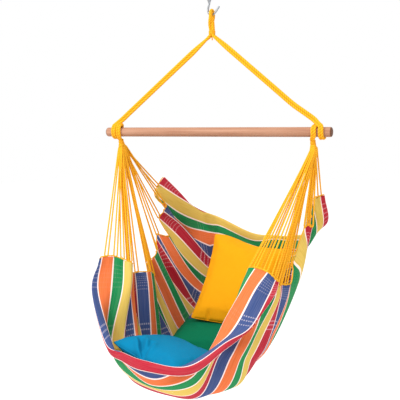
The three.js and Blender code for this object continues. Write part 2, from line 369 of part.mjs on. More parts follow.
cushion('cushion_back', COLOR.yellow, { c: [53.2, 187.4, -626.5], w: 404, d: 420, h: 108, yaw: -5.1, pitch: 56.5, roll: 0.5, spin: -1.3, bend: 0, px: 0.14, py: 0.04, shift: [[0, 0], [0, 0], [12, 0], [0, 0]], drop: 44 });

export default group;
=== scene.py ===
import bpy, bmesh, math
import numpy as np
from mathutils import Vector, Matrix, noise


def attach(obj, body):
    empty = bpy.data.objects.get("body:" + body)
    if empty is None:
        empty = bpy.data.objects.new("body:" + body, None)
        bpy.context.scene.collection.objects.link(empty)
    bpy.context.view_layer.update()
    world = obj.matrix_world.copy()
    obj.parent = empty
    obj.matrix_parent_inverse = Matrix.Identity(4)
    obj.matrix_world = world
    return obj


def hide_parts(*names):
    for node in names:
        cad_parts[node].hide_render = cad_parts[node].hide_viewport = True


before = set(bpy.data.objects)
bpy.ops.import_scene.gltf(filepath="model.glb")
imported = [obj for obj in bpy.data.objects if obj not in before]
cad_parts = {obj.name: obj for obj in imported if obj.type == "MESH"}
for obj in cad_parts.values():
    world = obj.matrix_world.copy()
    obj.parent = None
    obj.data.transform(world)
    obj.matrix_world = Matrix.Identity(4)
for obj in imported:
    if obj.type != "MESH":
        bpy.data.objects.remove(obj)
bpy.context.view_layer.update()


# ---- shared numbers, metres ---------------------------------------------------
# everything below is laid out with the spreader bar's axis at z = 0 and then
# moved by OFF, so that the hanging point is the origin
OFF = np.array([0.012, 0.0, -0.610])
HANG_X, HANG_Z = -0.012, 0.610
BAR_L, BAR_C, BAR_R, BAR_ROUND = 0.981, 0.0045, 0.019, 0.007
ROPE_R = 0.00475
TURN_R = BAR_R + ROPE_R + 0.0004
CORD_R = 0.0031
SEIZE_Z = 0.394
LEG_L, LEG_R = (-0.427, 0.041), (0.433, 0.041)
TURNS = {-1: (-0.4429, -0.4200), 1: (0.4562, 0.4277)}      # outer and inner pair of turns
ROD_R = 0.00325
FAN_X, FAN_Z, FAN_RHO = 0.420, -0.048, 0.030
STRIPES = 36
CLOTH_W, CLOTH_L = 1.27, 1.57
# the cloth: 10 lines from back hem to front hem, 37 points each, metres
NET = np.array([
    [(-0.3578, 0.2754, -0.2005), (-0.3744, 0.2534, -0.2336), (-0.3871, 0.2383, -0.2827), (-0.3626, 0.2494, -0.3189), (-0.3411, 0.2615, -0.3281), (-0.3480, 0.2500, -0.3569), (-0.3675, 0.2433, -0.3887), (-0.3480, 0.2589, -0.4394), (-0.3284, 0.2600, -0.4704), (-0.3646, 0.2224, -0.4610), (-0.3611, 0.2041, -0.4794), (-0.3529, 0.1856, -0.5018), (-0.3382, 0.1622, -0.5238), (-0.3255, 0.1147, -0.5430), (-0.3480, 0.0921, -0.5675), (-0.3333, 0.0782, -0.5994), (-0.3059, 0.0725, -0.6183), (-0.3137, 0.0599, -0.6169), (-0.3284, 0.0510, -0.6165), (-0.3020, 0.0382, -0.6124), (-0.3088, 0.0330, -0.6121), (-0.3088, 0.0152, -0.6091), (-0.2766, 0.0089, -0.5972), (-0.2648, -0.0347, -0.5808), (-0.2619, -0.0746, -0.5742), (-0.3010, -0.1012, -0.5768), (-0.3157, -0.1003, -0.5863), (-0.3284, -0.0948, -0.5924), (-0.3010, -0.1095, -0.5797), (-0.3088, -0.1204, -0.5702), (-0.3235, -0.1190, -0.5548), (-0.2863, -0.1444, -0.5320), (-0.3157, -0.1641, -0.5146), (-0.3489, -0.1878, -0.4992), (-0.3822, -0.2234, -0.4982), (-0.3920, -0.2206, -0.5073), (-0.4086, -0.1768, -0.5106)],
    [(-0.3062, 0.3389, -0.2804), (-0.3088, 0.3134, -0.2924), (-0.3088, 0.3333, -0.3697), (-0.3039, 0.3646, -0.4258), (-0.3043, 0.3652, -0.4584), (-0.2975, 0.3336, -0.4319), (-0.3088, 0.3017, -0.4675), (-0.2746, 0.3035, -0.5668), (-0.2550, 0.3256, -0.6287), (-0.2834, 0.2575, -0.6199), (-0.2762, 0.2211, -0.6082), (-0.3251, 0.2107, -0.6177), (-0.2893, 0.2011, -0.6519), (-0.2991, 0.1810, -0.6716), (-0.3333, 0.1512, -0.6691), (-0.3186, 0.1233, -0.6808), (-0.2893, 0.0954, -0.6955), (-0.3088, 0.0817, -0.6901), (-0.3235, 0.0675, -0.7195), (-0.2991, 0.0584, -0.7200), (-0.3039, 0.0494, -0.7186), (-0.2991, 0.0314, -0.7061), (-0.2668, 0.0165, -0.6790), (-0.2570, -0.0284, -0.6657), (-0.2531, -0.0704, -0.6534), (-0.2961, -0.0961, -0.6565), (-0.3137, -0.0971, -0.6828), (-0.3235, -0.1048, -0.6822), (-0.2961, -0.1155, -0.6695), (-0.3039, -0.1305, -0.6673), (-0.3186, -0.1457, -0.6657), (-0.2824, -0.1677, -0.6381), (-0.3137, -0.1831, -0.6338), (-0.3529, -0.2033, -0.6332), (-0.3969, -0.2328, -0.6314), (-0.4164, -0.2464, -0.6305), (-0.4292, -0.1915, -0.6505)],
    [(-0.2371, 0.4074, -0.3899), (-0.2404, 0.3925, -0.3538), (-0.2257, 0.4046, -0.4170), (-0.2159, 0.4053, -0.4561), (-0.2061, 0.4061, -0.5191), (-0.2016, 0.4186, -0.5776), (-0.1914, 0.3959, -0.6260), (-0.1914, 0.3735, -0.6643), (-0.1963, 0.3731, -0.7065), (-0.2012, 0.3287, -0.7267), (-0.2110, 0.3064, -0.7810), (-0.2159, 0.2954, -0.8000), (-0.2208, 0.2737, -0.8418), (-0.2335, 0.2480, -0.8650), (-0.2648, 0.2200, -0.8756), (-0.2550, 0.1804, -0.8746), (-0.2355, 0.1659, -0.8738), (-0.2453, 0.1314, -0.8936), (-0.2550, 0.1216, -0.9056), (-0.2404, 0.1120, -0.8885), (-0.2697, 0.0744, -0.9002), (-0.2746, 0.0467, -0.8942), (-0.2453, 0.0215, -0.8676), (-0.2453, -0.0138, -0.8592), (-0.2550, -0.0521, -0.8512), (-0.2893, -0.0845, -0.8513), (-0.2795, -0.0851, -0.8460), (-0.2991, -0.1008, -0.8527), (-0.2795, -0.1161, -0.8344), (-0.2844, -0.1323, -0.8312), (-0.3235, -0.1647, -0.8442), (-0.3088, -0.1791, -0.8268), (-0.3480, -0.2116, -0.8356), (-0.3626, -0.2282, -0.8331), (-0.3157, -0.2782, -0.8041), (-0.3189, -0.3104, -0.8183), (-0.3304, -0.2803, -0.8453)],
    [(-0.1898, 0.4206, -0.4147), (-0.1841, 0.3925, -0.3728), (-0.1758, 0.3960, -0.4227), (-0.1660, 0.3964, -0.4608), (-0.1687, 0.3967, -0.5172), (-0.1632, 0.4030, -0.5558), (-0.1646, 0.3915, -0.5833), (-0.1665, 0.3778, -0.6141), (-0.1711, 0.3719, -0.6523), (-0.1764, 0.3428, -0.6804), (-0.1856, 0.3234, -0.7260), (-0.1933, 0.3075, -0.7553), (-0.2008, 0.2848, -0.7960), (-0.2115, 0.2584, -0.8270), (-0.2313, 0.2288, -0.8514), (-0.2302, 0.1924, -0.8686), (-0.2238, 0.1675, -0.8841), (-0.2317, 0.1315, -0.9083), (-0.2385, 0.1078, -0.9264), (-0.2324, 0.0849, -0.9280), (-0.2480, 0.0479, -0.9426), (-0.2511, 0.0160, -0.9464), (-0.2369, -0.0151, -0.9390), (-0.2372, -0.0511, -0.9397), (-0.2423, -0.0875, -0.9386), (-0.2593, -0.1190, -0.9398), (-0.2537, -0.1337, -0.9378), (-0.2623, -0.1559, -0.9422), (-0.2415, -0.1780, -0.9396), (-0.2308, -0.2015, -0.9426), (-0.2480, -0.2257, -0.9755), (-0.2547, -0.2649, -0.9463), (-0.2520, -0.3089, -0.9099), (-0.2240, -0.3431, -0.8749), (-0.2037, -0.3774, -0.8572), (-0.1976, -0.3871, -0.8233), (-0.1879, -0.3969, -0.8578)],
    [(-0.1274, 0.4101, -0.4199), (-0.1198, 0.3807, -0.3914), (-0.1177, 0.3759, -0.4278), (-0.1077, 0.3759, -0.4647), (-0.1225, 0.3759, -0.5191), (-0.1257, 0.3759, -0.5295), (-0.1279, 0.3759, -0.5380), (-0.1307, 0.3712, -0.5599), (-0.1338, 0.3599, -0.5922), (-0.1376, 0.3465, -0.6260), (-0.1437, 0.3308, -0.6595), (-0.1512, 0.3106, -0.6947), (-0.1572, 0.2878, -0.7288), (-0.1612, 0.2617, -0.7614), (-0.1645, 0.2318, -0.7931), (-0.1670, 0.1998, -0.8217), (-0.1693, 0.1656, -0.8471), (-0.1711, 0.1289, -0.8703), (-0.1719, 0.0922, -0.8902), (-0.1719, 0.0563, -0.9072), (-0.1719, 0.0205, -0.9220), (-0.1719, -0.0154, -0.9342), (-0.1719, -0.0521, -0.9446), (-0.1719, -0.0888, -0.9535), (-0.1719, -0.1230, -0.9586), (-0.1713, -0.1536, -0.9605), (-0.1696, -0.1824, -0.9617), (-0.1670, -0.2111, -0.9635), (-0.1352, -0.2384, -0.9710), (-0.0795, -0.2657, -0.9820), (-0.0456, -0.2991, -0.9988), (-0.0540, -0.3480, -0.9688), (-0.0557, -0.3920, -0.9407), (-0.0518, -0.4263, -0.9195), (-0.0282, -0.4507, -0.8871), (-0.0578, -0.4703, -0.8192), (-0.0503, -0.4801, -0.8541)],
    [(0.0113, 0.4199, -0.4783), (0.0214, 0.3935, -0.4497), (0.0228, 0.3905, -0.4831), (0.0229, 0.3905, -0.5058), (0.0824, 0.3905, -0.5233), (0.0769, 0.3891, -0.5437), (0.0678, 0.3856, -0.5674), (0.0606, 0.3794, -0.5967), (0.0537, 0.3691, -0.6304), (0.0482, 0.3563, -0.6652), (0.0437, 0.3382, -0.7011), (0.0400, 0.3139, -0.7381), (0.0384, 0.2878, -0.7728), (0.0384, 0.2607, -0.8043), (0.0384, 0.2313, -0.8337), (0.0384, 0.1998, -0.8608), (0.0384, 0.1652, -0.8861), (0.0384, 0.1281, -0.9093), (0.0384, 0.0922, -0.9293), (0.0403, 0.0589, -0.9463), (0.0442, 0.0267, -0.9612), (0.0482, -0.0056, -0.9733), (0.0509, -0.0386, -0.9843), (0.0625, -0.0716, -0.9952), (0.0957, -0.1035, -0.9894), (0.1308, -0.1308, -0.9824), (0.1564, -0.1572, -0.9753), (0.1500, -0.1915, -0.9789), (0.1402, -0.2502, -0.9754), (0.1246, -0.3089, -0.9688), (0.1114, -0.3578, -0.9579), (0.1186, -0.4116, -0.9280), (0.1270, -0.4458, -0.8911), (0.1270, -0.4703, -0.8589), (0.1168, -0.4689, -0.8115), (0.1324, -0.5094, -0.8057), (0.1415, -0.5045, -0.8360)],
    [(0.1349, 0.3954, -0.4777), (0.1387, 0.3710, -0.4544), (0.1406, 0.3661, -0.4692), (0.1408, 0.3661, -0.5180), (0.2047, 0.3759, -0.4891), (0.1986, 0.3743, -0.5031), (0.1900, 0.3710, -0.5282), (0.1859, 0.3654, -0.5521), (0.1827, 0.3569, -0.5785), (0.1803, 0.3465, -0.6065), (0.1780, 0.3335, -0.6367), (0.1762, 0.3168, -0.6686), (0.1754, 0.2976, -0.6994), (0.1754, 0.2748, -0.7282), (0.1754, 0.2481, -0.7560), (0.1754, 0.2193, -0.7826), (0.1762, 0.1879, -0.8091), (0.1780, 0.1542, -0.8345), (0.1803, 0.1215, -0.8559), (0.1827, 0.0915, -0.8751), (0.1858, 0.0625, -0.8918), (0.1900, 0.0335, -0.8999), (0.1960, 0.0070, -0.9013), (0.2245, -0.0252, -0.8889), (0.2385, -0.0839, -0.8708), (0.2548, -0.1328, -0.8562), (0.2458, -0.1817, -0.8445), (0.2350, -0.2208, -0.8355), (0.2358, -0.2600, -0.8253), (0.2083, -0.2991, -0.8183), (0.1717, -0.3284, -0.8134), (0.1790, -0.3578, -0.7991), (0.1837, -0.3774, -0.7826), (0.1850, -0.4067, -0.7479), (0.2229, -0.4409, -0.7286), (0.2576, -0.4605, -0.7198), (0.2560, -0.4654, -0.7450)],
    [(0.2155, 0.3905, -0.4638), (0.2172, 0.3710, -0.4525), (0.2082, 0.3710, -0.4706), (0.2193, 0.3661, -0.5090), (0.2392, 0.3629, -0.5089), (0.2621, 0.3601, -0.5088), (0.2732, 0.3563, -0.5087), (0.2725, 0.3493, -0.5189), (0.2707, 0.3389, -0.5422), (0.2683, 0.3269, -0.5674), (0.2626, 0.3131, -0.5920), (0.2544, 0.2964, -0.6191), (0.2487, 0.2780, -0.6456), (0.2463, 0.2572, -0.6717), (0.2445, 0.2339, -0.6975), (0.2438, 0.2096, -0.7190), (0.2446, 0.1840, -0.7370), (0.2466, 0.1574, -0.7525), (0.2487, 0.1313, -0.7630), (0.2506, 0.1081, -0.7684), (0.2536, 0.0824, -0.7728), (0.2667, 0.0455, -0.7795), (0.2829, 0.0042, -0.7837), (0.2911, -0.0350, -0.7739), (0.2898, -0.0741, -0.7650), (0.2943, -0.0937, -0.7601), (0.2821, -0.1426, -0.7501), (0.2665, -0.1719, -0.7449), (0.2649, -0.2013, -0.7384), (0.2285, -0.2404, -0.7481), (0.2146, -0.2649, -0.7514), (0.2068, -0.2844, -0.7475), (0.2012, -0.3089, -0.7276), (0.2056, -0.3382, -0.6619), (0.2585, -0.3725, -0.6782), (0.3096, -0.3676, -0.6849), (0.3019, -0.3578, -0.6951)],
    [(0.3841, 0.3269, -0.3873), (0.3639, 0.3221, -0.4048), (0.3409, 0.3123, -0.4347), (0.3099, 0.3074, -0.4828), (0.2886, 0.3098, -0.4913), (0.2774, 0.3123, -0.4940), (0.2805, 0.3079, -0.4930), (0.2864, 0.2981, -0.4911), (0.2895, 0.2878, -0.4900), (0.2875, 0.2787, -0.5001), (0.2838, 0.2690, -0.5189), (0.2817, 0.2585, -0.5291), (0.2878, 0.2462, -0.5239), (0.2995, 0.2329, -0.5144), (0.3071, 0.2193, -0.5092), (0.3087, 0.2066, -0.5153), (0.3097, 0.1939, -0.5265), (0.3112, 0.1802, -0.5325), (0.3224, 0.1666, -0.5236), (0.3404, 0.1518, -0.5071), (0.3511, 0.1313, -0.4982), (0.3655, 0.0922, -0.4977), (0.3599, 0.0433, -0.5725), (0.3307, -0.0252, -0.6508), (0.3402, -0.0643, -0.6451), (0.3316, -0.1083, -0.6335), (0.3329, -0.1328, -0.6287), (0.3224, -0.1524, -0.6258), (0.2887, -0.1817, -0.6419), (0.2683, -0.2013, -0.6323), (0.2521, -0.2208, -0.6186), (0.2398, -0.2502, -0.5991), (0.2397, -0.2844, -0.5670), (0.2611, -0.3040, -0.5508), (0.3109, -0.3236, -0.5578), (0.3527, -0.3040, -0.5831), (0.3718, -0.2942, -0.5833)],
    [(0.3872, 0.2878, -0.2636), (0.3679, 0.2878, -0.2663), (0.3364, 0.2780, -0.2826), (0.3315, 0.2732, -0.2916), (0.3261, 0.2665, -0.2976), (0.3231, 0.2585, -0.3033), (0.3293, 0.2494, -0.3066), (0.3411, 0.2392, -0.3091), (0.3473, 0.2291, -0.3123), (0.3453, 0.2193, -0.3178), (0.3415, 0.2096, -0.3247), (0.3394, 0.1998, -0.3307), (0.3462, 0.1903, -0.3351), (0.3588, 0.1808, -0.3389), (0.3655, 0.1704, -0.3432), (0.3638, 0.1582, -0.3483), (0.3606, 0.1448, -0.3540), (0.3589, 0.1313, -0.3599), (0.3669, 0.1190, -0.3669), (0.3818, 0.1067, -0.3741), (0.3930, 0.0922, -0.3762), (0.3671, 0.0726, -0.3793), (0.3361, 0.0335, -0.5090), (0.3460, -0.0056, -0.5379), (0.3501, -0.0448, -0.5818), (0.3325, -0.0937, -0.5785), (0.3313, -0.1132, -0.5790), (0.3230, -0.1328, -0.5781), (0.2974, -0.1524, -0.5596), (0.2806, -0.1719, -0.5424), (0.2678, -0.2013, -0.5234), (0.2534, -0.2306, -0.5049), (0.2628, -0.2649, -0.4933), (0.2992, -0.2942, -0.4844), (0.3504, -0.3040, -0.4954), (0.3735, -0.2844, -0.5238), (0.3816, -0.2697, -0.5329)],
])


def srgb(r, g, b):
    f = lambda v: (v / 255 / 12.92) if v / 255 <= 0.04045 else ((v / 255 + 0.055) / 1.055) ** 2.4
    return (f(r), f(g), f(b), 1.0)


def catmull(p0, p1, p2, p3, f):
    return 0.5 * ((2 * p1) + (-p0 + p2) * f + (2 * p0 - 5 * p1 + 4 * p2 - p3) * f * f + (-p0 + 3 * p1 - 3 * p2 + p3) * f ** 3)


def along(P, t):
    """Catmull-Rom through P (n x ...) at an array of parameters."""
    P, t = np.asarray(P, float), np.atleast_1d(np.asarray(t, float))
    n = len(P)
    E = np.concatenate([(2 * P[0] - P[1])[None], P, (2 * P[-1] - P[-2])[None]])
    i = np.clip(np.floor(t).astype(int), 0, n - 2)
    f = (t - i).reshape((-1,) + (1,) * (P.ndim - 1))
    return catmull(E[i], E[i + 1], E[i + 2], E[i + 3], f)


def cloth_grid(us, ks):
    """points of the cloth, len(ks) x len(us) x 3"""
    cols = np.stack([along(NET[c], ks) for c in range(len(NET))])     # 10 x K x 3
    return np.swapaxes(along(cols, np.asarray(us) * (len(NET) - 1)), 0, 1)


def cloth_at(u, k):
    return cloth_grid([u], [k])[0, 0]


# ---- mesh helpers ---------------------------------------------------------------
def new_mesh(name, verts, faces, uvs=None, smooth=True):
    me = bpy.data.meshes.new(name)
    me.from_pydata([tuple(v) for v in verts], [], faces)
    if uvs is not None:
        layer = me.uv_layers.new(name="UVMap")
        layer.data.foreach_set("uv", np.asarray(uvs, np.float32).ravel())
    if smooth:
        me.polygons.foreach_set("use_smooth", [True] * len(me.polygons))
    me.update()
    ob = bpy.data.objects.new(name, me)
    bpy.context.scene.collection.objects.link(ob)
    return ob


def resample(pts, step):
    pts = np.asarray(pts, float)
    d = np.r_[0, np.cumsum(np.linalg.norm(np.diff(pts, axis=0), axis=1))]
    n = max(2, int(round(d[-1] / step)) + 1)
    s = np.linspace(0, d[-1], n)
    return np.stack([np.interp(s, d, pts[:, k]) for k in range(3)], 1)


def smooth_path(pts, step, rounds=0):
    """a smooth curve through the points, resampled by length"""
    pts = np.asarray(pts, float)
    t = np.linspace(0, len(pts) - 1, (len(pts) - 1) * 12 + 1)
    q = along(pts, t)
    return resample(q, step)


def frames(P, up=None):
    n = len(P)
    T = np.gradient(P, axis=0)
    T /= np.linalg.norm(T, axis=1)[:, None] + 1e-12
    ref = np.array([0.0, 0.0, 1.0]) if up is None else np.asarray(up, float)
    if abs(T[0] @ ref) > 0.9:
        ref = np.array([1.0, 0.0, 0.0])
    A = np.zeros_like(P)
    a = ref - (ref @ T[0]) * T[0]
    A[0] = a / np.linalg.norm(a)
    for i in range(1, n):
        a = A[i - 1] - (A[i - 1] @ T[i]) * T[i]
        A[i] = a / (np.linalg.norm(a) + 1e-12)
    return T, A, np.cross(T, A)


def tube(P, r, sides=12, strands=0, lay=0.03, closed=False, depth=0.2, taper=None, phase=0.0):
    """verts, faces, uvs of a tube along P; strands > 0 gives a laid rope's lobes"""
    P = np.asarray(P, float)
    n = len(P)
    T, A, B = frames(P)
    s = np.r_[0, np.cumsum(np.linalg.norm(np.diff(P, axis=0), axis=1))]
    th = np.arange(sides) * 2 * np.pi / sides
    if closed:                      # a whole number of strand lay turns round the ring
        L = s[-1] + np.linalg.norm(P[0] - P[-1])
        turns = max(1, round(L / lay)) if strands else 0
    V = []
    for i in range(n):
        rr = np.full(sides, r)
        if strands:
            ph = (2 * np.pi * turns * s[i] / L if closed else 2 * np.pi * s[i] / lay) + phase
            rr = r * (1 - depth + depth * np.abs(np.cos(strands / 2 * (th - ph))) ** 0.7)
        if taper is not None:
            rr = rr * taper[i]
        V.append(P[i] + rr[:, None] * (np.cos(th)[:, None] * A[i] + np.sin(th)[:, None] * B[i]))
    V = np.concatenate(V)
    F, U = [], []
    m = n if closed else n - 1
    for i in range(m):
        i2 = (i + 1) % n
        s2 = s[i + 1] if i + 1 < n else s[-1] + np.linalg.norm(P[0] - P[-1])
        for j in range(sides):
            j2 = (j + 1) % sides
            F.append((i * sides + j, i * sides + j2, i2 * sides + j2, i2 * sides + j))
            U += [(j / sides, s[i]), ((j + 1) / sides, s[i]), ((j + 1) / sides, s2), (j / sides, s2)]
    if not closed:
        F.append(tuple(range(sides - 1, -1, -1)))
        U += [(0.5, s[0])] * sides
        F.append(tuple((n - 1) * sides + j for j in range(sides)))
        U += [(0.5, s[-1])] * sides
    return V, F, U


def joined(name, parts, smooth=True):
    V, F, U, o = [], [], [], 0
    for v, f, u in parts:
        V.append(np.asarray(v)); F += [tuple(i + o for i in q) for q in f]; U += list(u); o += len(v)
    return new_mesh(name, np.concatenate(V), F, U, smooth)


def lathe(profile, seg=48, axis="z", centre=(0, 0, 0)):
    """profile [(r, h), ...] turned about an axis"""
    V, F, U = [], [], []
    prof = [(max(r, 0.0), h) for r, h in profile]
    ring = []
    for r, h in prof:
        if r < 1e-9:
            ring.append([len(V)]); V.append((0, 0, h))
        else:
            ring.append(list(range(len(V), len(V) + seg)))
            for j in range(seg):
                a = 2 * math.pi * j / seg
                V.append((r * math.cos(a), r * math.sin(a), h))
    d = np.r_[0, np.cumsum([math.dist(prof[i], prof[i + 1]) for i in range(len(prof) - 1)])]
    for i in range(len(prof) - 1):
        a, b = ring[i], ring[i + 1]
        for j in range(seg):
            j2 = (j + 1) % seg
            u0, u1 = j / seg, (j + 1) / seg
            if len(a) == 1 and len(b) == 1:
                continue
            if len(a) == 1:
                F.append((a[0], b[j], b[j2])); U += [(u0, d[i]), (u0, d[i + 1]), (u1, d[i + 1])]
            elif len(b) == 1:
                F.append((a[j], b[0], a[j2])); U += [(u0, d[i]), (u0, d[i + 1]), (u1, d[i])]
            else:
                F.append((a[j], b[j], b[j2], a[j2])); U += [(u0, d[i]), (u0, d[i + 1]), (u1, d[i + 1]), (u1, d[i])]
    V = np.array(V, float)
    if axis == "x":
        V = V[:, [2, 0, 1]]
    return V + np.array(centre), F, U


def outward(ob):
    bm = bmesh.new(); bm.from_mesh(ob.data)
    bmesh.ops.recalc_face_normals(bm, faces=bm.faces)
    bm.to_mesh(ob.data); bm.free()
    return ob


def place(ob, body, slot, mat, *nodes):
    ob.data.materials.clear()
    ob.data.materials.append(mat)
    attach(ob, body)
    if nodes:
        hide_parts(*nodes)
    return ob


# ---- materials -------------------------------------------------------------------
class Nodes:
    def __init__(self, name):
        self.mat = bpy.data.materials.new(name)
        self.mat.use_nodes = True
        self.t = self.mat.node_tree
        self.bsdf = self.t.nodes["Principled BSDF"]

    def add(self, kind, **props):
        n = self.t.nodes.new(kind)
        for k, v in props.items():
            setattr(n, k, v)
        return n

    def link(self, a, b):
        self.t.links.new(a, b)

    def put(self, sock, value):
        if hasattr(value, "is_output") or isinstance(value, bpy.types.NodeSocket):
            self.t.links.new(value, sock)
        else:
            sock.default_value = value

    def math(self, op, a, b=None, c=None, clamp=False):
        n = self.add("ShaderNodeMath", operation=op, use_clamp=clamp)
        self.put(n.inputs[0], a)
        if b is not None:
            self.put(n.inputs[1], b)
        if c is not None:
            self.put(n.inputs[2], c)
        return n.outputs[0]

    def mix(self, f, a, b, blend="MIX"):
        n = self.add("ShaderNodeMix", data_type="RGBA", blend_type=blend)
        self.put(n.inputs[0], f); self.put(n.inputs[6], a); self.put(n.inputs[7], b)
        return n.outputs[2]

    def ramp(self, f, stops, interp="LINEAR"):
        n = self.add("ShaderNodeValToRGB")
        n.color_ramp.interpolation = interp
        e = n.color_ramp.elements
        while len(e) < len(stops):
            e.new(0.5)
        for el, (p, c) in zip(e, stops):
            el.position = p; el.color = c
        self.put(n.inputs[0], f)
        return n.outputs[0]

    def rng(self, v, a, b, c=0.0, d=1.0, smooth=True):
        n = self.add("ShaderNodeMapRange", interpolation_type="SMOOTHSTEP" if smooth else "LINEAR")
        self.put(n.inputs[0], v)
        for i, x in enumerate((a, b, c, d)):
            n.inputs[i + 1].default_value = x
        return n.outputs[0]

    def uv(self):
        n = self.add("ShaderNodeUVMap"); n.uv_map = "UVMap"
        s = self.add("ShaderNodeSeparateXYZ"); self.link(n.outputs[0], s.inputs[0])
        return n.outputs[0], s.outputs[0], s.outputs[1]

    def obj(self):
        n = self.add("ShaderNodeTexCoord")
        s = self.add("ShaderNodeSeparateXYZ"); self.link(n.outputs["Object"], s.inputs[0])
        return n.outputs["Object"], s.outputs[0], s.outputs[1], s.outputs[2]

    def combine(self, x, y, z=0.0):
        n = self.add("ShaderNodeCombineXYZ")
        self.put(n.inputs[0], x); self.put(n.inputs[1], y); self.put(n.inputs[2], z)
        return n.outputs[0]

    def noise(self, vec, scale, detail=2.0, rough=0.5):
        n = self.add("ShaderNodeTexNoise")
        self.put(n.inputs["Vector"], vec)
        n.inputs["Scale"].default_value = scale
        n.inputs["Detail"].default_value = detail
        n.inputs["Roughness"].default_value = rough
        return n.outputs["Fac"]

    def bump(self, height, strength, distance, normal=None):
        n = self.add("ShaderNodeBump")
        n.inputs["Strength"].default_value = strength
        n.inputs["Distance"].default_value = distance
        self.put(n.inputs["Height"], height)
        if normal is not None:
            self.link(normal, n.inputs["Normal"])
        return n.outputs[0]

    def out(self, color, rough, normal=None, metallic=0.0, sheen=0.0):
        b = self.bsdf
        self.put(b.inputs["Base Color"], color)
        self.put(b.inputs["Roughness"], rough)
        b.inputs["Metallic"].default_value = metallic
        if sheen:
            b.inputs["Sheen Weight"].default_value = sheen
            b.inputs["Sheen Roughness"].default_value = 0.45
        b.inputs["Specular IOR Level"].default_value = 0.5 if metallic else 0.12
        if normal is not None:
            self.link(normal, b.inputs["Normal"])
        return self.mat


RED, YEL, GRN, ORG, BLU = srgb(174, 24, 48), srgb(212, 180, 84), srgb(0, 128, 70), srgb(222, 108, 54), srgb(53, 74, 125)


def cloth_material():
    m = Nodes("striped_cotton")
    uv, u, v = m.uv()                       # metres across, metres down
    s = m.math("DIVIDE", v, CLOTH_L / STRIPES)
    f = m.math("FRACT", s)
    i = m.math("FLOOR", m.math("ADD", s, 0.0))
    q = m.math("DIVIDE", m.math("ADD", m.math("MODULO", i, 5.0), 0.5), 5.0)
    col = m.ramp(q, [(0.0, RED), (0.2, YEL), (0.4, GRN), (0.6, ORG), (0.8, BLU)], "CONSTANT")
    # long weft streaks, and a slower fading
    streak = m.noise(m.combine(m.math("MULTIPLY", u, 9.0), m.math("MULTIPLY", v, 520.0)), 1.0, 2.0, 0.6)
    col = m.mix(m.rng(streak, 0.35, 0.7, 0.0, 0.04), col, srgb(255, 240, 220))
    col = m.mix(m.rng(streak, 0.5, 0.2, 0.0, 0.22), col, (0.02, 0.015, 0.02, 1))
    fade = m.noise(m.combine(m.math("MULTIPLY", u, 5.0), m.math("MULTIPLY", v, 7.0)), 1.0, 3.0, 0.5)
    col = m.mix(m.rng(fade, 0.45, 0.75, 0.0, 0.02), col, srgb(250, 235, 215))
    # pale lines between the stripes, slightly uneven
    d = m.math("MINIMUM", f, m.math("SUBTRACT", 1.0, f))
    wob = m.math("MULTIPLY", m.math("SUBTRACT", m.noise(m.combine(m.math("MULTIPLY", u, 60.0), 0.0), 1.0), 0.5), 0.012)
    line = m.rng(m.math("ADD", d, wob), 0.062, 0.046, 0.0, 1.0)
    col = m.mix(m.math("MULTIPLY", line, 0.94), col, srgb(248, 226, 220))
    # thread stitches across the dark stripes near both gathered edges
    e = m.math("MINIMUM", u, m.math("SUBTRACT", CLOTH_W, u))
    rows = None
    for p, q2 in ((0.036, 0.6), (0.055, 0.6), (0.074, 0.6), (0.093, 0.6), (0.112, 0.5), (0.131, 0.5), (0.238, 0.9), (0.254, 0.9), (0.274, 0.9)):
        r = m.rng(m.math("ABSOLUTE", m.math("SUBTRACT", e, p)), 0.0030, 0.0018, 0.0, q2)
        rows = r if rows is None else m.math("MAXIMUM", rows, r)
    dash = m.rng(m.math("SINE", m.math("MULTIPLY", v, 2 * math.pi / 0.0062)), -0.35, 0.05, 0.0, 1.0)
    dark = m.ramp(q, [(0.0, (1, 1, 1, 1)), (0.2, (0, 0, 0, 1)), (0.4, (.22, .22, .22, 1)), (0.6, (.08, .08, .08, 1)), (0.8, (.85, .85, .85, 1))], "CONSTANT")
    st = m.math("MULTIPLY", m.math("MULTIPLY", rows, dash), m.math("MULTIPLY", dark, 0.5))
    col = m.mix(st, col, srgb(236, 222, 226))
    # weave
    wx = m.math("SINE", m.math("MULTIPLY", u, 2 * math.pi / 0.0017))
    wy = m.math("SINE", m.math("MULTIPLY", v, 2 * math.pi / 0.0013))
    weave = m.math("ADD", m.math("MULTIPLY", m.math("MULTIPLY", wx, wy), 0.6), m.math("MULTIPLY", wy, 0.5))
    n1 = m.bump(weave, 0.35, 0.0004)
    n2 = m.bump(m.noise(m.combine(m.math("MULTIPLY", u, 14.0), m.math("MULTIPLY", v, 90.0)), 1.0, 3.0, 0.6), 0.25, 0.004, n1)
    n3 = m.bump(line, 0.5, 0.0006, n2)
    return m.out(col, m.rng(streak, 0.2, 0.8, 0.82, 0.94), n3, sheen=0.01)


def cotton_material(name, base, dark, light, weave=0.0016):
    m = Nodes(name)
    o, x, y, z = m.obj()
    tint = m.noise(o, 9.0, 3.0, 0.55)
    col = m.mix(m.rng(tint, 0.3, 0.75, 0.0, 0.30), base, dark)
    col = m.mix(m.rng(m.noise(o, 60.0, 2.0, 0.6), 0.45, 0.8, 0.0, 0.08), col, light)
    thread = m.noise(m.combine(m.math("MULTIPLY", x, 700.0), m.math("MULTIPLY", y, 90.0), m.math("MULTIPLY", z, 90.0)), 1.0, 2.0)
    col = m.mix(m.rng(thread, 0.3, 0.7, 0.0, 0.10), col, dark)
    a = m.math("SINE", m.math("MULTIPLY", x, 2 * math.pi / weave))
    b = m.math("SINE", m.math("MULTIPLY", m.math("ADD", y, z), 2 * math.pi / weave))
    n1 = m.bump(m.math("MULTIPLY", a, b), 0.3, 0.0004)
    n2 = m.bump(m.noise(o, 26.0, 4.0, 0.6), 0.2, 0.005, n1)
    return m.out(col, 0.9, n2, sheen=0.0)


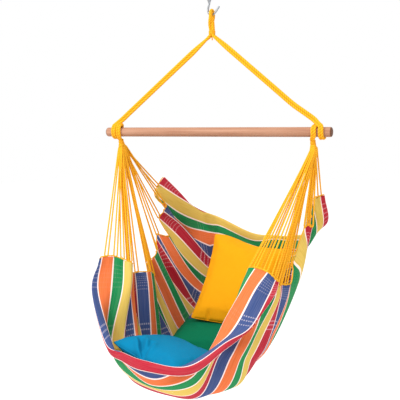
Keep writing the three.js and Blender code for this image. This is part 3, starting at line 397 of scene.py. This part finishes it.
def rope_material(name, base, dark, light, lay, turns=3.0, bump=0.5):
    m = Nodes(name)
    uv, u, v = m.uv()
    spiral = m.math("ADD", m.math("MULTIPLY", u, turns), m.math("DIVIDE", v, -lay / turns))
    w = m.math("ABSOLUTE", m.math("SINE", m.math("MULTIPLY", spiral, math.pi)))
    # painted shade and highlight: the ramp darkens the grooves between the strands and lightens the strand crowns
    col = m.ramp(w, [(0.0, dark), (0.35, base), (1.0, light)])
    fib = m.noise(m.combine(m.math("MULTIPLY", m.math("ADD", m.math("MULTIPLY", u, 1.0), m.math("DIVIDE", v, -lay)), 60.0), m.math("MULTIPLY", v, 40.0)), 1.0, 3.0, 0.6)
    col = m.mix(m.rng(fib, 0.4, 0.75, 0.0, 0.22), col, dark)
    col = m.mix(m.rng(m.noise(m.combine(u, m.math("MULTIPLY", v, 14.0)), 1.0, 2.0), 0.45, 0.75, 0.0, 0.25), col, light)
    n1 = m.bump(w, bump, 0.0008)
    n2 = m.bump(fib, 0.35, 0.0003, n1)
    return m.out(col, 0.86, n2, sheen=0.03)


def wood_material():
    m = Nodes("beech")
    o, x, y, z = m.obj()
    g = m.noise(m.combine(m.math("MULTIPLY", x, 4.0), m.math("MULTIPLY", y, 120.0), m.math("MULTIPLY", z, 120.0)), 1.0, 4.0, 0.55)
    col = m.ramp(g, [(0.25, srgb(148, 102, 80)), (0.5, srgb(166, 122, 97)), (0.8, srgb(182, 140, 116))])
    fleck = m.noise(m.combine(m.math("MULTIPLY", x, 60.0), m.math("MULTIPLY", y, 500.0), m.math("MULTIPLY", z, 500.0)), 1.0, 2.0, 0.5)
    col = m.mix(m.rng(fleck, 0.62, 0.72, 0.0, 0.45), col, srgb(134, 88, 64))
    band = m.noise(m.combine(m.math("MULTIPLY", x, 1.3), 0.0, 0.0), 3.0, 2.0)
    col = m.mix(m.rng(band, 0.4, 0.7, 0.0, 0.25), col, srgb(158, 112, 86))
    # the two ends: ringed end grain on the flat ends, and darker, partly as end grain and partly as painted shade over
    # the rounded end edges
    end = m.math("SUBTRACT", m.math("ABSOLUTE", m.math("SUBTRACT", x, float(OFF[0] + BAR_C))), BAR_L / 2 - 0.0062)
    r = m.math("SQRT", m.math("ADD", m.math("POWER", m.math("ADD", y, 0.02), 2.0), m.math("POWER", m.math("SUBTRACT", z, float(OFF[2]) - 0.03), 2.0)))
    rings = m.math("SINE", m.math("MULTIPLY", r, 2 * math.pi / 0.0031))
    endc = m.mix(m.rng(rings, -1.0, 1.0), srgb(84, 54, 38), srgb(116, 78, 58))
    col = m.mix(m.rng(end, 0.0, 0.003), col, endc)
    n1 = m.bump(g, 0.12, 0.0005)
    return m.out(col, m.rng(g, 0.2, 0.8, 0.42, 0.55), n1)


def steel_material():
    m = Nodes("galvanised_steel")
    o, x, y, z = m.obj()
    n = m.noise(o, 160.0, 3.0, 0.6)
    col = m.ramp(n, [(0.3, srgb(126, 130, 133)), (0.7, srgb(176, 179, 183))])
    spots = m.noise(o, 420.0, 2.0, 0.5)
    col = m.mix(m.rng(spots, 0.62, 0.74, 0.0, 0.5), col, srgb(84, 82, 80))
    return m.out(col, m.rng(n, 0.3, 0.7, 0.34, 0.5), m.bump(n, 0.1, 0.0003), metallic=1.0)


CLOTH = cloth_material()
# each rope colour set: base, a darker colour painted as shade in the strand grooves, a lighter colour painted as
# highlight on the crowns
ROPE = rope_material("laid_rope", srgb(220, 150, 14), srgb(178, 106, 6), srgb(236, 172, 38), 0.030, 3.0, 0.2)
CORD = rope_material("twisted_cord", srgb(226, 156, 18), srgb(196, 126, 8), srgb(242, 178, 44), 0.014, 2.0, 0.3)
WHIP = rope_material("whipping", srgb(222, 150, 16), srgb(176, 108, 8), srgb(240, 174, 42), 0.012, 2.0, 0.5)
BEECH, STEEL = wood_material(), steel_material()
C_YEL = cotton_material("cushion_yellow", srgb(226, 154, 10), srgb(214, 140, 6), srgb(236, 174, 40))
C_GRN = cotton_material("cushion_green", srgb(0, 104, 70), srgb(0, 92, 60), srgb(12, 118, 84))
C_TUR = cotton_material("cushion_turquoise", srgb(0, 122, 164), srgb(0, 110, 150), srgb(14, 136, 176))

# ---- camera, before the pieces -----------------------------------------------------
AZ, DIST, PITCH = math.radians(24.0), 3.23, math.radians(4.84)
cam_data = bpy.data.cameras.new("camera")
cam = bpy.data.objects.new("camera", cam_data)
bpy.context.scene.collection.objects.link(cam)
cam.location = (OFF[0] + DIST * math.sin(AZ), OFF[1] - DIST * math.cos(AZ), OFF[2])
look = Vector((-math.sin(AZ) * math.cos(PITCH), math.cos(AZ) * math.cos(PITCH), -math.sin(PITCH)))
cam.rotation_euler = look.to_track_quat("-Z", "Y").to_euler()
cam_data.sensor_fit = "HORIZONTAL"
cam_data.sensor_width = 36.0
cam_data.lens = 803.0 / 400.0 * 36.0
cam_data.shift_x = -12.0 / 400.0
cam_data.clip_end = 60.0
bpy.context.scene.camera = cam

# ---- cloth ---------------------------------------------------------------------------
NU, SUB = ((150, 5))


def build_cloth():
    nk = STRIPES * SUB
    us, ks = np.linspace(0, 1, NU + 1), np.linspace(0, STRIPES, nk + 1)
    S = cloth_grid(us, ks)
    du, dv = np.gradient(S, axis=1), np.gradient(S, axis=0)
    N = np.cross(dv, du)
    N /= np.linalg.norm(N, axis=2)[..., None] + 1e-12
    U, K = np.meshgrid(us, ks)
    edge = np.exp(-np.minimum(U, 1 - U) / 0.055)
    w = 0.0022 * edge * np.sin(2 * np.pi * (K * 1.31 + 0.35 * np.sin(K * 0.9))) + 0.0016 * edge * np.sin(2 * np.pi * K * 2.17 + 1.3)
    broad = np.sin(2 * np.pi * (K / 3.1 + 1.7 * U) + 0.8) * np.sin(2 * np.pi * (1.2 * U - K / 11.0))
    w += 0.0018 * broad + 0.0011 * np.sin(2 * np.pi * (K / 1.7 - 3.1 * U)) * (1 - edge)
    fall = np.clip(K / 1.5, 0, 1) * np.clip((STRIPES - K) / 1.5, 0, 1)
    S = S + N * (w * (0.35 + 0.65 * fall))[..., None] + OFF
    verts = S.reshape(-1, 3)
    faces, uvs = [], []
    W = NU + 1
    for a in range(nk):
        for i in range(NU):
            faces.append((a * W + i, (a + 1) * W + i, (a + 1) * W + i + 1, a * W + i + 1))
            for aa, ii in ((a, i), (a + 1, i), (a + 1, i + 1), (a, i + 1)):
                uvs.append((us[ii] * CLOTH_W, ks[aa] * CLOTH_L / STRIPES))
    ob = new_mesh("striped_cloth", verts, faces, uvs)
    sol = ob.modifiers.new("thick", "SOLIDIFY")
    sol.thickness = 0.0018
    sol.offset = 0.0
    bpy.context.view_layer.objects.active = ob
    ob.select_set(True)
    bpy.ops.object.modifier_apply(modifier="thick")
    ob.select_set(False)
    return ob


cloth = place(build_cloth(), "seat", "striped_cloth", CLOTH, "fabric_sling")

# ---- spreader bar and steel ------------------------------------------------------------
h = BAR_L / 2
prof = [(0, -h)] + [(BAR_R - BAR_ROUND + BAR_ROUND * math.sin(a), -h + BAR_ROUND * (1 - math.cos(a))) for a in np.linspace(0, math.pi / 2, 9)]
prof += [(BAR_R, x) for x in np.linspace(-h + 0.02, h - 0.02, 25)]
prof += [(r, -z) for r, z in reversed(prof[:10])]
bar = joined("beech_bar", [lathe(prof, 56, "x", OFF + np.array([BAR_C, 0, 0]))])
place(outward(bar), "bridle", "beech", BEECH, "spreader_bar")

HOOK = [(-12, 505.6), (-12.1, 503.6), (-13.6, 499.5), (-16.4, 490), (-17, 481), (-15.8, 472.5), (-12.2, 466.6), (-6.8, 463.6),
        (0, 462.8), (6, 464.4), (11.5, 468.2), (17, 474.5), (22.3, 481.4), (27.2, 487.9), (32, 494.4)]
P = smooth_path([(x / 1000, 0, z / 1000) for x, z in HOOK], 0.0012) + OFF
tip = np.ones(len(P)); tip[-5:] = [0.97, 0.9, 0.78, 0.58, 0.3]
place(outward(joined("hook_rod", [tube(P, ROD_R + 0.0007, 20, taper=tip)])), "hook", "steel", STEEL, "hanging_hook")

b = [(0, 506), (3.4, 506), (4.2, 507.5), (4.9, 511), (8.6, 522), (10.6, 527.5), (11.3, 531), (11.5, 534), (11.5, 537), (11.0, 538), (11.5, 539),
     (11.5, 549), (11.2, 552.5), (10.4, 556.4), (9.2, 558.8), (8.0, 560), (4.6, 560), (4.6, 549.6), (7.2, 549.6), (7.2, 536), (0, 536)]
place(outward(joined("swivel_body", [lathe([(r / 1000, z / 1000) for r, z in b], 48, "z", OFF + np.array([HANG_X, 0, 0]))])), "hook", "steel", STEEL, "swivel_barrel")

ring = [(0.0150 * math.cos(a) + HANG_X, 0, HANG_Z - 0.0115 + 0.0150 * math.sin(a)) for a in np.linspace(0, 2 * np.pi, 73)[:-1]]
stem = [(0, 543.6), (6.4, 543.6), (6.6, 544.2), (6.6, 548.8), (6.2, 549.2), (4.0, 549.2), (4.0, 566), (6.8, 568.2), (7.3, 569.2), (7.3, 573.2),
        (6.8, 574.4), (5.0, 577), (4.2, 582), (3.2, 584.6), (0, 585)]
place(outward(joined("swivel_ring", [tube(np.array(ring) + OFF, 0.0035, 18, closed=True),
                                     lathe([(r / 1000, z / 1000) for r, z in stem], 40, "z", OFF + np.array([HANG_X, 0, 0]))])), "swivel_top", "steel", STEEL, "swivel_eye")

# ---- rope ---------------------------------------------------------------------------------
ROPE_STEP, ROPE_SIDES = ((0.0022, 21))
IN_R, APEX, TOP_GAP = ROD_R + ROPE_R + 0.00035, 0.4628, 2 * ROPE_R + 0.00035


def loop_half(outer):
    pts = []
    for a in np.linspace(0, np.pi / 2, 6):
        r = IN_R + (TOP_GAP if outer else 0)
        pts.append((0, r * math.sin(a), APEX + r * math.cos(a)))
    for i in range(1, 8):
        f = i / 7
        z, s = APEX - f * (APEX - (SEIZE_Z + 0.0013)), f * f * (3 - 2 * f)
        x, y = 0.0051 * s, IN_R + (0.0051 - IN_R) * s
        if outer:
            q = s * math.pi / 2
            g = TOP_GAP + 0.0006 * math.sin(2 * q)
            x, y = x - g * math.sin(q), y + g * math.cos(q)
        pts.append((x, y, z))
    return pts


for outer, nm in ((False, "inner"), (True, "outer")):
    hp = loop_half(outer)
    pts = hp[::-1] + [(x, -y, z) for x, y, z in hp[1:]]
    P = smooth_path(pts, ROPE_STEP) + OFF
    place(outward(joined("rope_top_" + nm, [tube(P, ROPE_R + 0.0004, ROPE_SIDES, strands=3, lay=0.034, depth=0.07)])), "rope_top", "rope", ROPE, "rope_loop_" + nm)

# seizing: four tight turns of thin cord
parts = []
for i, z in enumerate(np.linspace(0.3890, 0.3985, 4)):
    c = [(0.0119 * math.cos(a), 0.0119 * math.sin(a), z + 0.0006 * math.sin(2 * a + i)) for a in np.linspace(0, 2 * np.pi, 49)[:-1]]
    parts.append(tube(np.array(c) + OFF, 0.0017, 10, closed=True))
place(outward(joined("rope_whipping", parts)), "rope_top", "whipping", WHIP, "rope_seizing")


LEG_RAD = 0.0059


def leg(sign, end, strand):
    """one strand: down from the seizing, over the bar, round it twice and into the gathering"""
    C = [(0.0051 * sign, SEIZE_Z - 0.0013), (0.0053 * sign, 0.3865), (0.0082 * sign, 0.3795)]
    d = np.array(end) - np.array(C[2])
    L = np.linalg.norm(d)
    up = np.array([-d[1], d[0]]) / L * sign
    up = up if up[1] > 0 else -up
    out = [(x, 0.0051 * strand, z) for x, z in C]
    for s in (0.05, 0.1, 0.15, 0.2, 0.34, 0.46, 0.6, 0.77, 0.88, 0.97):
        q = min(1, s / 0.2) * math.pi / 2
        o = 0.0054 * math.sin(q) * strand
        sag = 0.010 * (s / 0.77 if s < 0.77 else (1 - s) / 0.23) if sign > 0 else 0.0
        out.append((C[2][0] + d[0] * s + up[0] * o, 0.0051 * math.cos(q) * strand, C[2][1] + d[1] * s + up[1] * o - sag))
    xa, xb = TURNS[sign]
    g, T = sign * FAN_X, TURN_R
    mid = xa + (xb - xa) * 0.5
    top = ([(mid - sign * 0.003, 0.72 * T, 0.72 * T, 0), (xb + sign * 0.002, 0.004, 0.0318, 0), (xb, -0.0175, 0.0250, 0), (xb, -0.0240, 0.0110, 0)] if sign < 0 else
           [(mid - sign * 0.003, 0.707 * T, 0.707 * T, 0), (xb + sign * 0.002, 0, T, 0), (xb, -0.707 * T, 0.707 * T, 0), (xb, -0.0226, 0.0100, 0)])
    over = [((end[0] + xa) / 2, -0.0050, 0.0352, 0.55), (xa - sign * 0.001, -0.0165, 0.0255, 0.12)] if sign < 0 else [(end[0] + 0.0062, -0.0060, 0.0322, 0.75), (xa - 0.0030, -0.0172, 0.0232, 0.3)]
    wrap = over + [(xa, -0.0226, 0.0118, 0), (xa, -T, 0, 0), (xa, -0.707 * T, -0.707 * T, 0), (xa, 0, -T, 0),
            (xa, 0.707 * T, -0.707 * T, 0), (mid + sign * 0.004, T, 0, 0), *top,
            (xb, -T, 0, 0), (xb, -0.0212, -0.0125, 0), (g + (xb - g) * 0.5, -0.0165, -0.0220, 0), (g, -0.0100, -0.0290, 0), (g, -0.0030, -0.0335, 0)]
    for i, (x, y, z, f) in enumerate(wrap):
        o = np.array([sign * (1 - f) + up[0] * f, 0, up[1] * f])
        o = o / np.linalg.norm(o) * 0.0050 * strand * (1 if i < 14 else (0.9, 0.75, 0.6)[i - 14])
        out.append((x + o[0], y, z + o[2]))
    return out


for side, sign, end in (("left", -1, LEG_L), ("right", 1, LEG_R)):
    for strand, ab, t in ((1, "a", (1, 3)), (-1, "b", (2, 4))):
        P = smooth_path(leg(sign, end, strand), ROPE_STEP) + OFF
        place(outward(joined(f"bridle_{side}_{ab}", [tube(P, LEG_RAD, ROPE_SIDES, strands=3, lay=0.038, depth=0.07, phase=strand)])), "bridle", "rope", ROPE,
              f"rope_leg_{side}_{ab}", f"hitch_{side}_turn_{t[0]}", f"hitch_{side}_turn_{t[1]}")

P = smooth_path([(0.0006, 0, 0.379), (0.0004, 0, 0.372), (0.0014, 0, 0.363)], 0.0015) + OFF
place(outward(joined("rope_cut_tail", [tube(P, 0.0024, 14, strands=3, lay=0.016, taper=np.linspace(0.9, 1.12, len(P)))])), "bridle", "rope", ROPE, "rope_tail")

# ---- fan cords ---------------------------------------------------------------------------
ANCHOR_L = [1.2, 4.4, 5.9, 9, 11.8, 13.8, 16.3, 19.5, 23, 24.8, 27, 29.5, 31.4, 32.15, 32.85, 33.6]
ANCHOR_R = [1.1, 3, 8, 12, 16, 20.2, 20.9, 24.55, 25.3, 27, 29.5, 32.2, 33, 33.8, 34.6, 35.5]
ANGLE = {"left": (24, 109), "right": (28, 118)}
COLS = (-0.0084, -0.0028, 0.0028, 0.0084)


def unit(v):
    return v / (np.linalg.norm(v) + 1e-12)


def fan(side):
    s = -1 if side == "left" else 1
    ks, u = (ANCHOR_L, 0.0) if s < 0 else (ANCHOR_R, 1.0)
    C = np.array([s * FAN_X, 0, FAN_Z])
    anchors = []
    for k in ks:
        p = cloth_at(u, k)
        anchors.append(dict(p=p, t=unit(cloth_at(u, k + 0.3) - cloth_at(u, k - 0.3)), inward=cloth_at(0.02 if s < 0 else 0.98, k)))
    anchors.sort(key=lambda a: math.atan2(C[2] - a["p"][2], a["p"][1]))
    cords = []
    lo, hi = ANGLE[side]
    for r in range(8):
        pair = [dict(anchors[2 * r + j], n=2 * r + j) for j in (0, 1)]
        pair.sort(key=lambda a: a["p"][0])
        th = math.radians(lo + (hi - lo) * r / 7)
        for j, a in enumerate(pair):
            st = [C + np.array([x, FAN_RHO * math.cos(th), -FAN_RHO * math.sin(th)]) for x in (COLS[2 * j], COLS[2 * j + 1])]
            out = unit(a["p"] - a["inward"])
            dr = unit(unit(C - a["p"]) * 0.85 + out * 0.15)
            t = unit(a["t"] - (a["t"] @ dr) * dr)
            half, gap = 0.007, 0.005
            base = a["p"] + dr * (gap + half * 0.55)
            if t @ (st[1] - st[0]) < 0:
                t = -t
            cords.append(dict(n=a["n"] + 1, st=st, base=base, t=t, dr=dr, half=half, p=a["p"]))
    cords.sort(key=lambda c: c["n"])
    return C, cords


CORD_STEP, CORD_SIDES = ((0.006, 8))
for side in ("left", "right"):
    C, cords = fan(side)
    necks = []
    for c in cords:
        # the two legs end in the gathering, and the loop takes the cloth's edge cord
        bend = [c["base"] - c["t"] * c["half"] * math.cos(q) - c["dr"] * (c["half"] * 0.55 + 0.0035) * math.sin(q) for q in np.linspace(0, math.pi, 9)]
        sag = []
        for s0, b0 in ((c["st"][0], bend[0]), (c["st"][1], bend[-1])):
            f = np.linspace(0, 1, 9)[1:-1]
            sag.append([s0 + (b0 - s0) * x + np.array([0, 0, -0.0022]) * math.sin(math.pi * x) * (1 if abs(b0[1] - s0[1]) > 0.1 else 0.2) for x in f])
        neck = [np.array([C[0] + (s0[0] - C[0]) * 0.62, s0[1] * 0.30, -0.0405]) for s0 in c["st"]]
        mid = [np.array([C[0] + (s0[0] - C[0]) * 0.8, s0[1] * 0.62, FAN_Z + (s0[2] - FAN_Z) * 0.55]) for s0 in c["st"]]
        pts = [neck[0], mid[0], c["st"][0]] + sag[0] + bend + sag[1][::-1] + [c["st"][1], mid[1], neck[1]]
        P = smooth_path(pts, CORD_STEP) + OFF
        place(outward(joined(f"cord_{side}_{c['n']:02d}", [tube(P, CORD_R, CORD_SIDES)])), "seat", "cord", CORD, f"fan_cord_{side}_{c['n']:02d}")
    # gathering: turns of thin cord round the neck under the hitch
    parts = []
    for i, z in enumerate(np.linspace(-0.0315, -0.0445, 7)):
        rr = 0.0088 + 0.0012 * i / 6 + 0.0004 * math.sin(i * 1.9)
        ring = [(C[0] + rr * math.cos(a), rr * 1.08 * math.sin(a), z + 0.0005 * math.sin(2 * a + i)) for a in np.linspace(0, 2 * np.pi, 41)[:-1]]
        parts.append(tube(np.array(ring) + OFF, 0.0013, 9, closed=True))
    core = [(0, -0.0270), (0.0040, -0.0272), (0.0070, -0.0285), (0.0080, -0.0310), (0.0083, -0.034), (0.0092, -0.046), (0.0115, -0.056), (0.010, -0.064), (0, -0.066)]
    parts.append(lathe([(r, z) for r, z in core], 32, "z", OFF + np.array([C[0], 0, 0])))
    place(outward(joined(f"gathering_{side}", parts)), "seat", "whipping", WHIP, f"gather_{side}")
    # edge cord through the hairpins
    u = 0.0 if side == "left" else 1.0
    kk = np.linspace(0.15, STRIPES - 0.15, 37 * 4)
    E = cloth_grid([u], kk)[:, 0]
    I = cloth_grid([0.015 if u == 0 else 0.985], kk)[:, 0]
    out = E - I
    out /= np.linalg.norm(out, axis=1)[:, None]
    E = E + out * (0.0028 + 0.0012 * np.sin(kk * 4.4))[:, None]
    P = resample(E, 0.004) + OFF
    parts = [tube(P, 0.0021, 8)]
    # small loops standing off the edge, where the lacing turns back
    for k in np.arange(0.7, STRIPES - 0.3, 0.83):
        a, b2 = cloth_grid([u], [k - 0.10, k, k + 0.10])[:, 0], cloth_grid([0.015 if u == 0 else 0.985], [k])[0, 0]
        o, t = a[1] - b2, a[2] - a[0]
        o, t = o / (np.linalg.norm(o) + 1e-9), t / (np.linalg.norm(t) + 1e-9)
        hgt = 0.0075 + 0.0035 * math.sin(k * 5.7)
        L = [a[1] + t * 0.0050 * math.cos(q) * (1 + 0.25 * math.sin(q)) + o * (hgt * math.sin(q) - 0.002) for q in np.linspace(0, math.pi, 7)]
        parts.append(tube(smooth_path(L, 0.0035) + OFF, 0.0015, 6))
    place(outward(joined(f"edge_cord_{side}", parts)), "seat", "cord", CORD)

# ---- cushions ------------------------------------------------------------------------------
CUSHIONS = {
    "back": (dict(c=(0.0532, 0.1874, -0.6265), w=0.4040, d=0.4200, h=0.1080, yaw=-5.1, pitch=56.5, roll=0.5, spin=-1.3, bend=0.0000, px=0.14, py=0.04, shift=((0.0000, 0.0000), (0.0000, 0.0000), (0.0120, 0.0000), (0.0000, 0.0000)), drop=0.0440), C_YEL, "back_cushion", "yellow",
             [((-0.49, -1.0), (-0.44, -0.80), 0.008, 0.035), ((0.35, -0.98), (0.25, -0.78), 0.005, 0.05), ((-0.95, 0.62), (-0.6, 0.45), 0.003, 0.08)], 0.008),
    "middle": (dict(c=(0.0095, 0.0602, -0.8524), w=0.4560, d=0.2445, h=0.0770, yaw=-2.4, pitch=21.8, roll=-5.5, spin=-1.2, bend=0.0078, shift=((0.0000, 0.0000), (0.0000, -0.0400), (0.0000, 0.0050), (0.0000, 0.0060))), C_GRN, "middle_cushion", "green",
             [((-0.8, 0.5), (-0.5, 0.0), 0.003, 0.09), ((0.2, -0.9), (0.3, -0.4), 0.003, 0.08)], 0.010),
    "front": (dict(c=(-0.0602, -0.2337, -0.8699), w=0.4373, d=0.3108, h=0.1128, yaw=-18.7, pitch=-7.371, roll=4.673, spin=-9.5, bend=0.0098), C_TUR, "front_cushion", "turquoise",
             [((-0.50, -0.55), (0.07, -0.97), 0.024, 0.058), ((-0.17, -0.56), (0.06, -0.93), 0.020, 0.055), ((-0.2, 0.7), (0.45, 0.45), 0.003, 0.09)], 0.010),
}


def turn(yaw, pitch, roll, spin):
    R = math.radians
    return (Matrix.Rotation(R(yaw), 3, "Z") @ Matrix.Rotation(R(pitch), 3, "X") @ Matrix.Rotation(R(roll), 3, "Y") @ Matrix.Rotation(R(spin), 3, "Z"))


def ease(a, b, x):
    t = min(1.0, max(0.0, (x - a) / (b - a)))
    return t * t * (3 - 2 * t)


CORNERS = ((-1, 1), (1, 1), (-1, -1), (1, -1))


def outline(u, v, w, d, px, py, cc, shift, drop):
    """x and y in a cushion's own plane for u, v from -1 to 1"""
    k = 1 - cc * u * u * v * v
    x, y = w / 2 * u * (1 - px * (1 - v * v)) * k, d / 2 * v * (1 - py * (1 - u * u)) * k
    for (dx, dy), (su, sv) in zip(shift, CORNERS):
        g = (1 + su * u) / 2 * (1 + sv * v) / 2
        x, y = x + dx * g, y + dy * g
    return x, y - drop * (1 + v) / 2 * (ease(-0.85, 0.25, u) - 0.26 * ease(0.6, 1, u))


def pillow(name, c, w, d, h, yaw, pitch, roll, spin, bend=0.0, px=0.05, py=0.05, cc=0.05, q=0.42, shift=(), drop=0.0, n=44, thin=1.0):
    R = np.array(turn(yaw, pitch, roll, spin))
    i = np.arange(n + 1)
    t = -np.cos(np.pi * i / n) * 0.55 + (2 * i / n - 1) * 0.45
    verts, ids, faces, rim = [], {}, [], []

    def at(f, a, b_):
        edge = a in (0, n) or b_ in (0, n)
        key = (0 if edge else f, a, b_)
        if key not in ids:
            u, v = t[a], t[b_]
            z = (0 if edge else f * h / 2 * thin * max(0.0, (1 - u * u) * (1 - v * v)) ** q) + bend * u * u
            x, y = outline(u, v, w, d, px, py, cc, shift, drop)
            ids[key] = len(verts)
            rim.append(max(abs(u), abs(v)))
            verts.append(R @ np.array([x, y, z]) + np.array(c) + OFF)
        return ids[key]

    for a in range(n):
        for b_ in range(n):
            for f in (1, -1):
                q4 = [at(f, a, b_), at(f, a + 1, b_), at(f, a + 1, b_ + 1), at(f, a, b_ + 1)]
                faces.append(tuple(q4 if f > 0 else q4[::-1]))
    return new_mesh(name, verts, faces), R, np.array(rim)


def puff(ob, R, rim, cap, pressure, frames_n=20):
    """inflate as cloth and apply: each point moves at most cap, less near the seam and mostly outward"""
    rest = np.array([v.co for v in ob.data.vertices])
    c = ob.modifiers.new("cloth", "CLOTH")
    s = c.settings
    s.quality = 6
    s.mass = 0.25
    s.tension_stiffness = 12
    s.compression_stiffness = 6
    s.shear_stiffness = 4
    s.bending_stiffness = 0.15
    s.use_pressure = True
    s.uniform_pressure_force = pressure
    s.effector_weights.gravity = 0
    c.collision_settings.use_self_collision = False
    c.point_cache.frame_start, c.point_cache.frame_end = 1, frames_n
    sc = bpy.context.scene
    for f in range(1, frames_n + 1):
        sc.frame_set(f)
    dg = bpy.context.evaluated_depsgraph_get()
    got = np.array([v.co for v in ob.evaluated_get(dg).data.vertices])
    ob.modifiers.remove(c)
    sc.frame_set(1)
    mv = got - rest
    L = np.linalg.norm(mv, axis=1)
    k = np.where(L > cap, cap / (L + 1e-12), 1.0) * np.clip((1 - rim) / 0.22, 0, 1) ** 0.8
    mv = (mv * k[:, None]) @ R
    mv[:, :2] *= 0.35
    new = rest + mv @ R.T
    ob.data.vertices.foreach_set("co", new.astype(np.float32).ravel())
    ob.data.update()


def creases(ob, R, c, folds, w, d):
    """press soft folds into a cushion: each is ((u0,v0),(u1,v1), depth, width) on its top side"""
    co = np.array([v.co for v in ob.data.vertices])
    loc = (co - (np.array(c) + OFF)) @ R
    u, v = loc[:, 0] / (w / 2), loc[:, 1] / (d / 2)
    top = 1 / (1 + np.exp(-loc[:, 2] / 0.006))
    dz = np.zeros(len(co))
    for (a, b_, depth, width) in folds:
        a, b_ = np.array(a, float), np.array(b_, float)
        e = b_ - a
        t = np.clip(((u - a[0]) * e[0] + (v - a[1]) * e[1]) / (e @ e), 0, 1)
        dist = np.hypot(u - a[0] - t * e[0], v - a[1] - t * e[1])
        dz -= depth * np.exp(-(dist / width) ** 2) * np.sin(np.pi * np.clip(t * 0.9 + 0.08, 0, 1)) ** 0.7
        dz += 0.45 * depth * np.exp(-((dist - 1.9 * width) / width) ** 2) * np.sin(np.pi * np.clip(t * 0.9 + 0.08, 0, 1)) ** 0.7
    # wrinkles running in from the seam
    r = np.maximum(abs(u), abs(v))
    ang = np.arctan2(v, u)
    dz += 0.0016 * np.clip((r - 0.62) / 0.3, 0, 1) * (1 - np.clip((r - 0.93) / 0.07, 0, 1)) * np.sin(ang * 23 + 2.5 * np.sin(ang * 5)) * np.sign(loc[:, 2])
    loc[:, 2] += dz * top
    ob.data.vertices.foreach_set("co", (loc @ R.T + np.array(c) + OFF).astype(np.float32).ravel())
    ob.data.update()


def seam(name, spec, mat, body, slot_name, r=0.0022):
    """the sewn edge: a thin welt round the cushion"""
    R = np.array(turn(spec["yaw"], spec["pitch"], spec["roll"], spec["spin"]))
    bend, shape = spec.get("bend", 0.0), (spec.get("px", 0.05), spec.get("py", 0.05), spec.get("cc", 0.05), spec.get("shift", ()), spec.get("drop", 0.0))
    pts = []
    n = 60
    sides = [((-1, -1), (1, -1)), ((1, -1), (1, 1)), ((1, 1), (-1, 1)), ((-1, 1), (-1, -1))]
    for a, b_ in sides:
        for f in np.linspace(0, 1, n + 1)[:-1]:
            u, v = a[0] + (b_[0] - a[0]) * f, a[1] + (b_[1] - a[1]) * f
            x, y = outline(u, v, spec["w"], spec["d"], *shape)
            pts.append((x, y, bend * u * u + 0.0006 * math.sin(40 * f)))
    P = np.array(pts)
    for _ in range(3):
        P = (np.roll(P, 1, 0) + P * 2 + np.roll(P, -1, 0)) / 4
    P = P @ R.T + np.array(spec["c"]) + OFF
    return place(outward(joined(name, [tube(P, r, 8, closed=True)])), body, slot_name, mat)


for key, (spec, mat, body, slot_name, folds, cap) in CUSHIONS.items():
    sp = dict(spec)
    ob, R, rim = pillow(f"pillow_{key}", thin=0.9, n=72, **sp)
    puff(ob, R, rim, cap, 4.0)
    creases(ob, R, sp["c"], folds, sp["w"], sp["d"])
    ob.data.polygons.foreach_set("use_smooth", [True] * len(ob.data.polygons))
    place(ob, body, slot_name, mat, f"cushion_{key}")
    seam(f"welt_{key}", sp, mat, body, slot_name)

# ---- studio -----------------------------------------------------------------------------------
me = bpy.data.meshes.new("floor")
me.from_pydata([(-14, -9, 0), (14, -9, 0), (14, 22, 0), (-14, 22, 0)], [], [(0, 1, 2, 3)])
floor = bpy.data.objects.new("floor", me)
bpy.context.scene.collection.objects.link(floor)
floor.location = (0, 0, -2.15)
fm = Nodes("pale_floor")
fm.bsdf.inputs["Base Color"].default_value = (0.86, 0.86, 0.86, 1)
fm.bsdf.inputs["Roughness"].default_value = 0.9
fm.bsdf.inputs["Emission Color"].default_value = (1, 1, 1, 1)
fm.bsdf.inputs["Emission Strength"].default_value = 0.25
me.materials.append(fm.mat)

world = bpy.data.worlds.new("studio")
bpy.context.scene.world = world
world.use_nodes = True
world.node_tree.nodes["Background"].inputs[0].default_value = (1, 1, 1, 1)
world.node_tree.nodes["Background"].inputs[1].default_value = 1.0


def area(name, loc, target, size, power, color=(1, 1, 1)):
    L = bpy.data.lights.new(name, "AREA")
    L.size = size
    L.energy = power
    L.color = color
    o = bpy.data.objects.new(name, L)
    bpy.context.scene.collection.objects.link(o)
    o.location = loc
    o.rotation_euler = (Vector(target) - Vector(loc)).to_track_quat("-Z", "Y").to_euler()
    return o


area("key", (-1.6, -2.8, 1.6), (0, 0, -1.2), 1.3, 95)
area("fill", (1.3, -2.35, 2.25), (-0.2, 0, -1.1), 1.6, 68)

bpy.context.scene.view_settings.view_transform = "Standard"
bpy.context.scene.view_settings.look = "None"
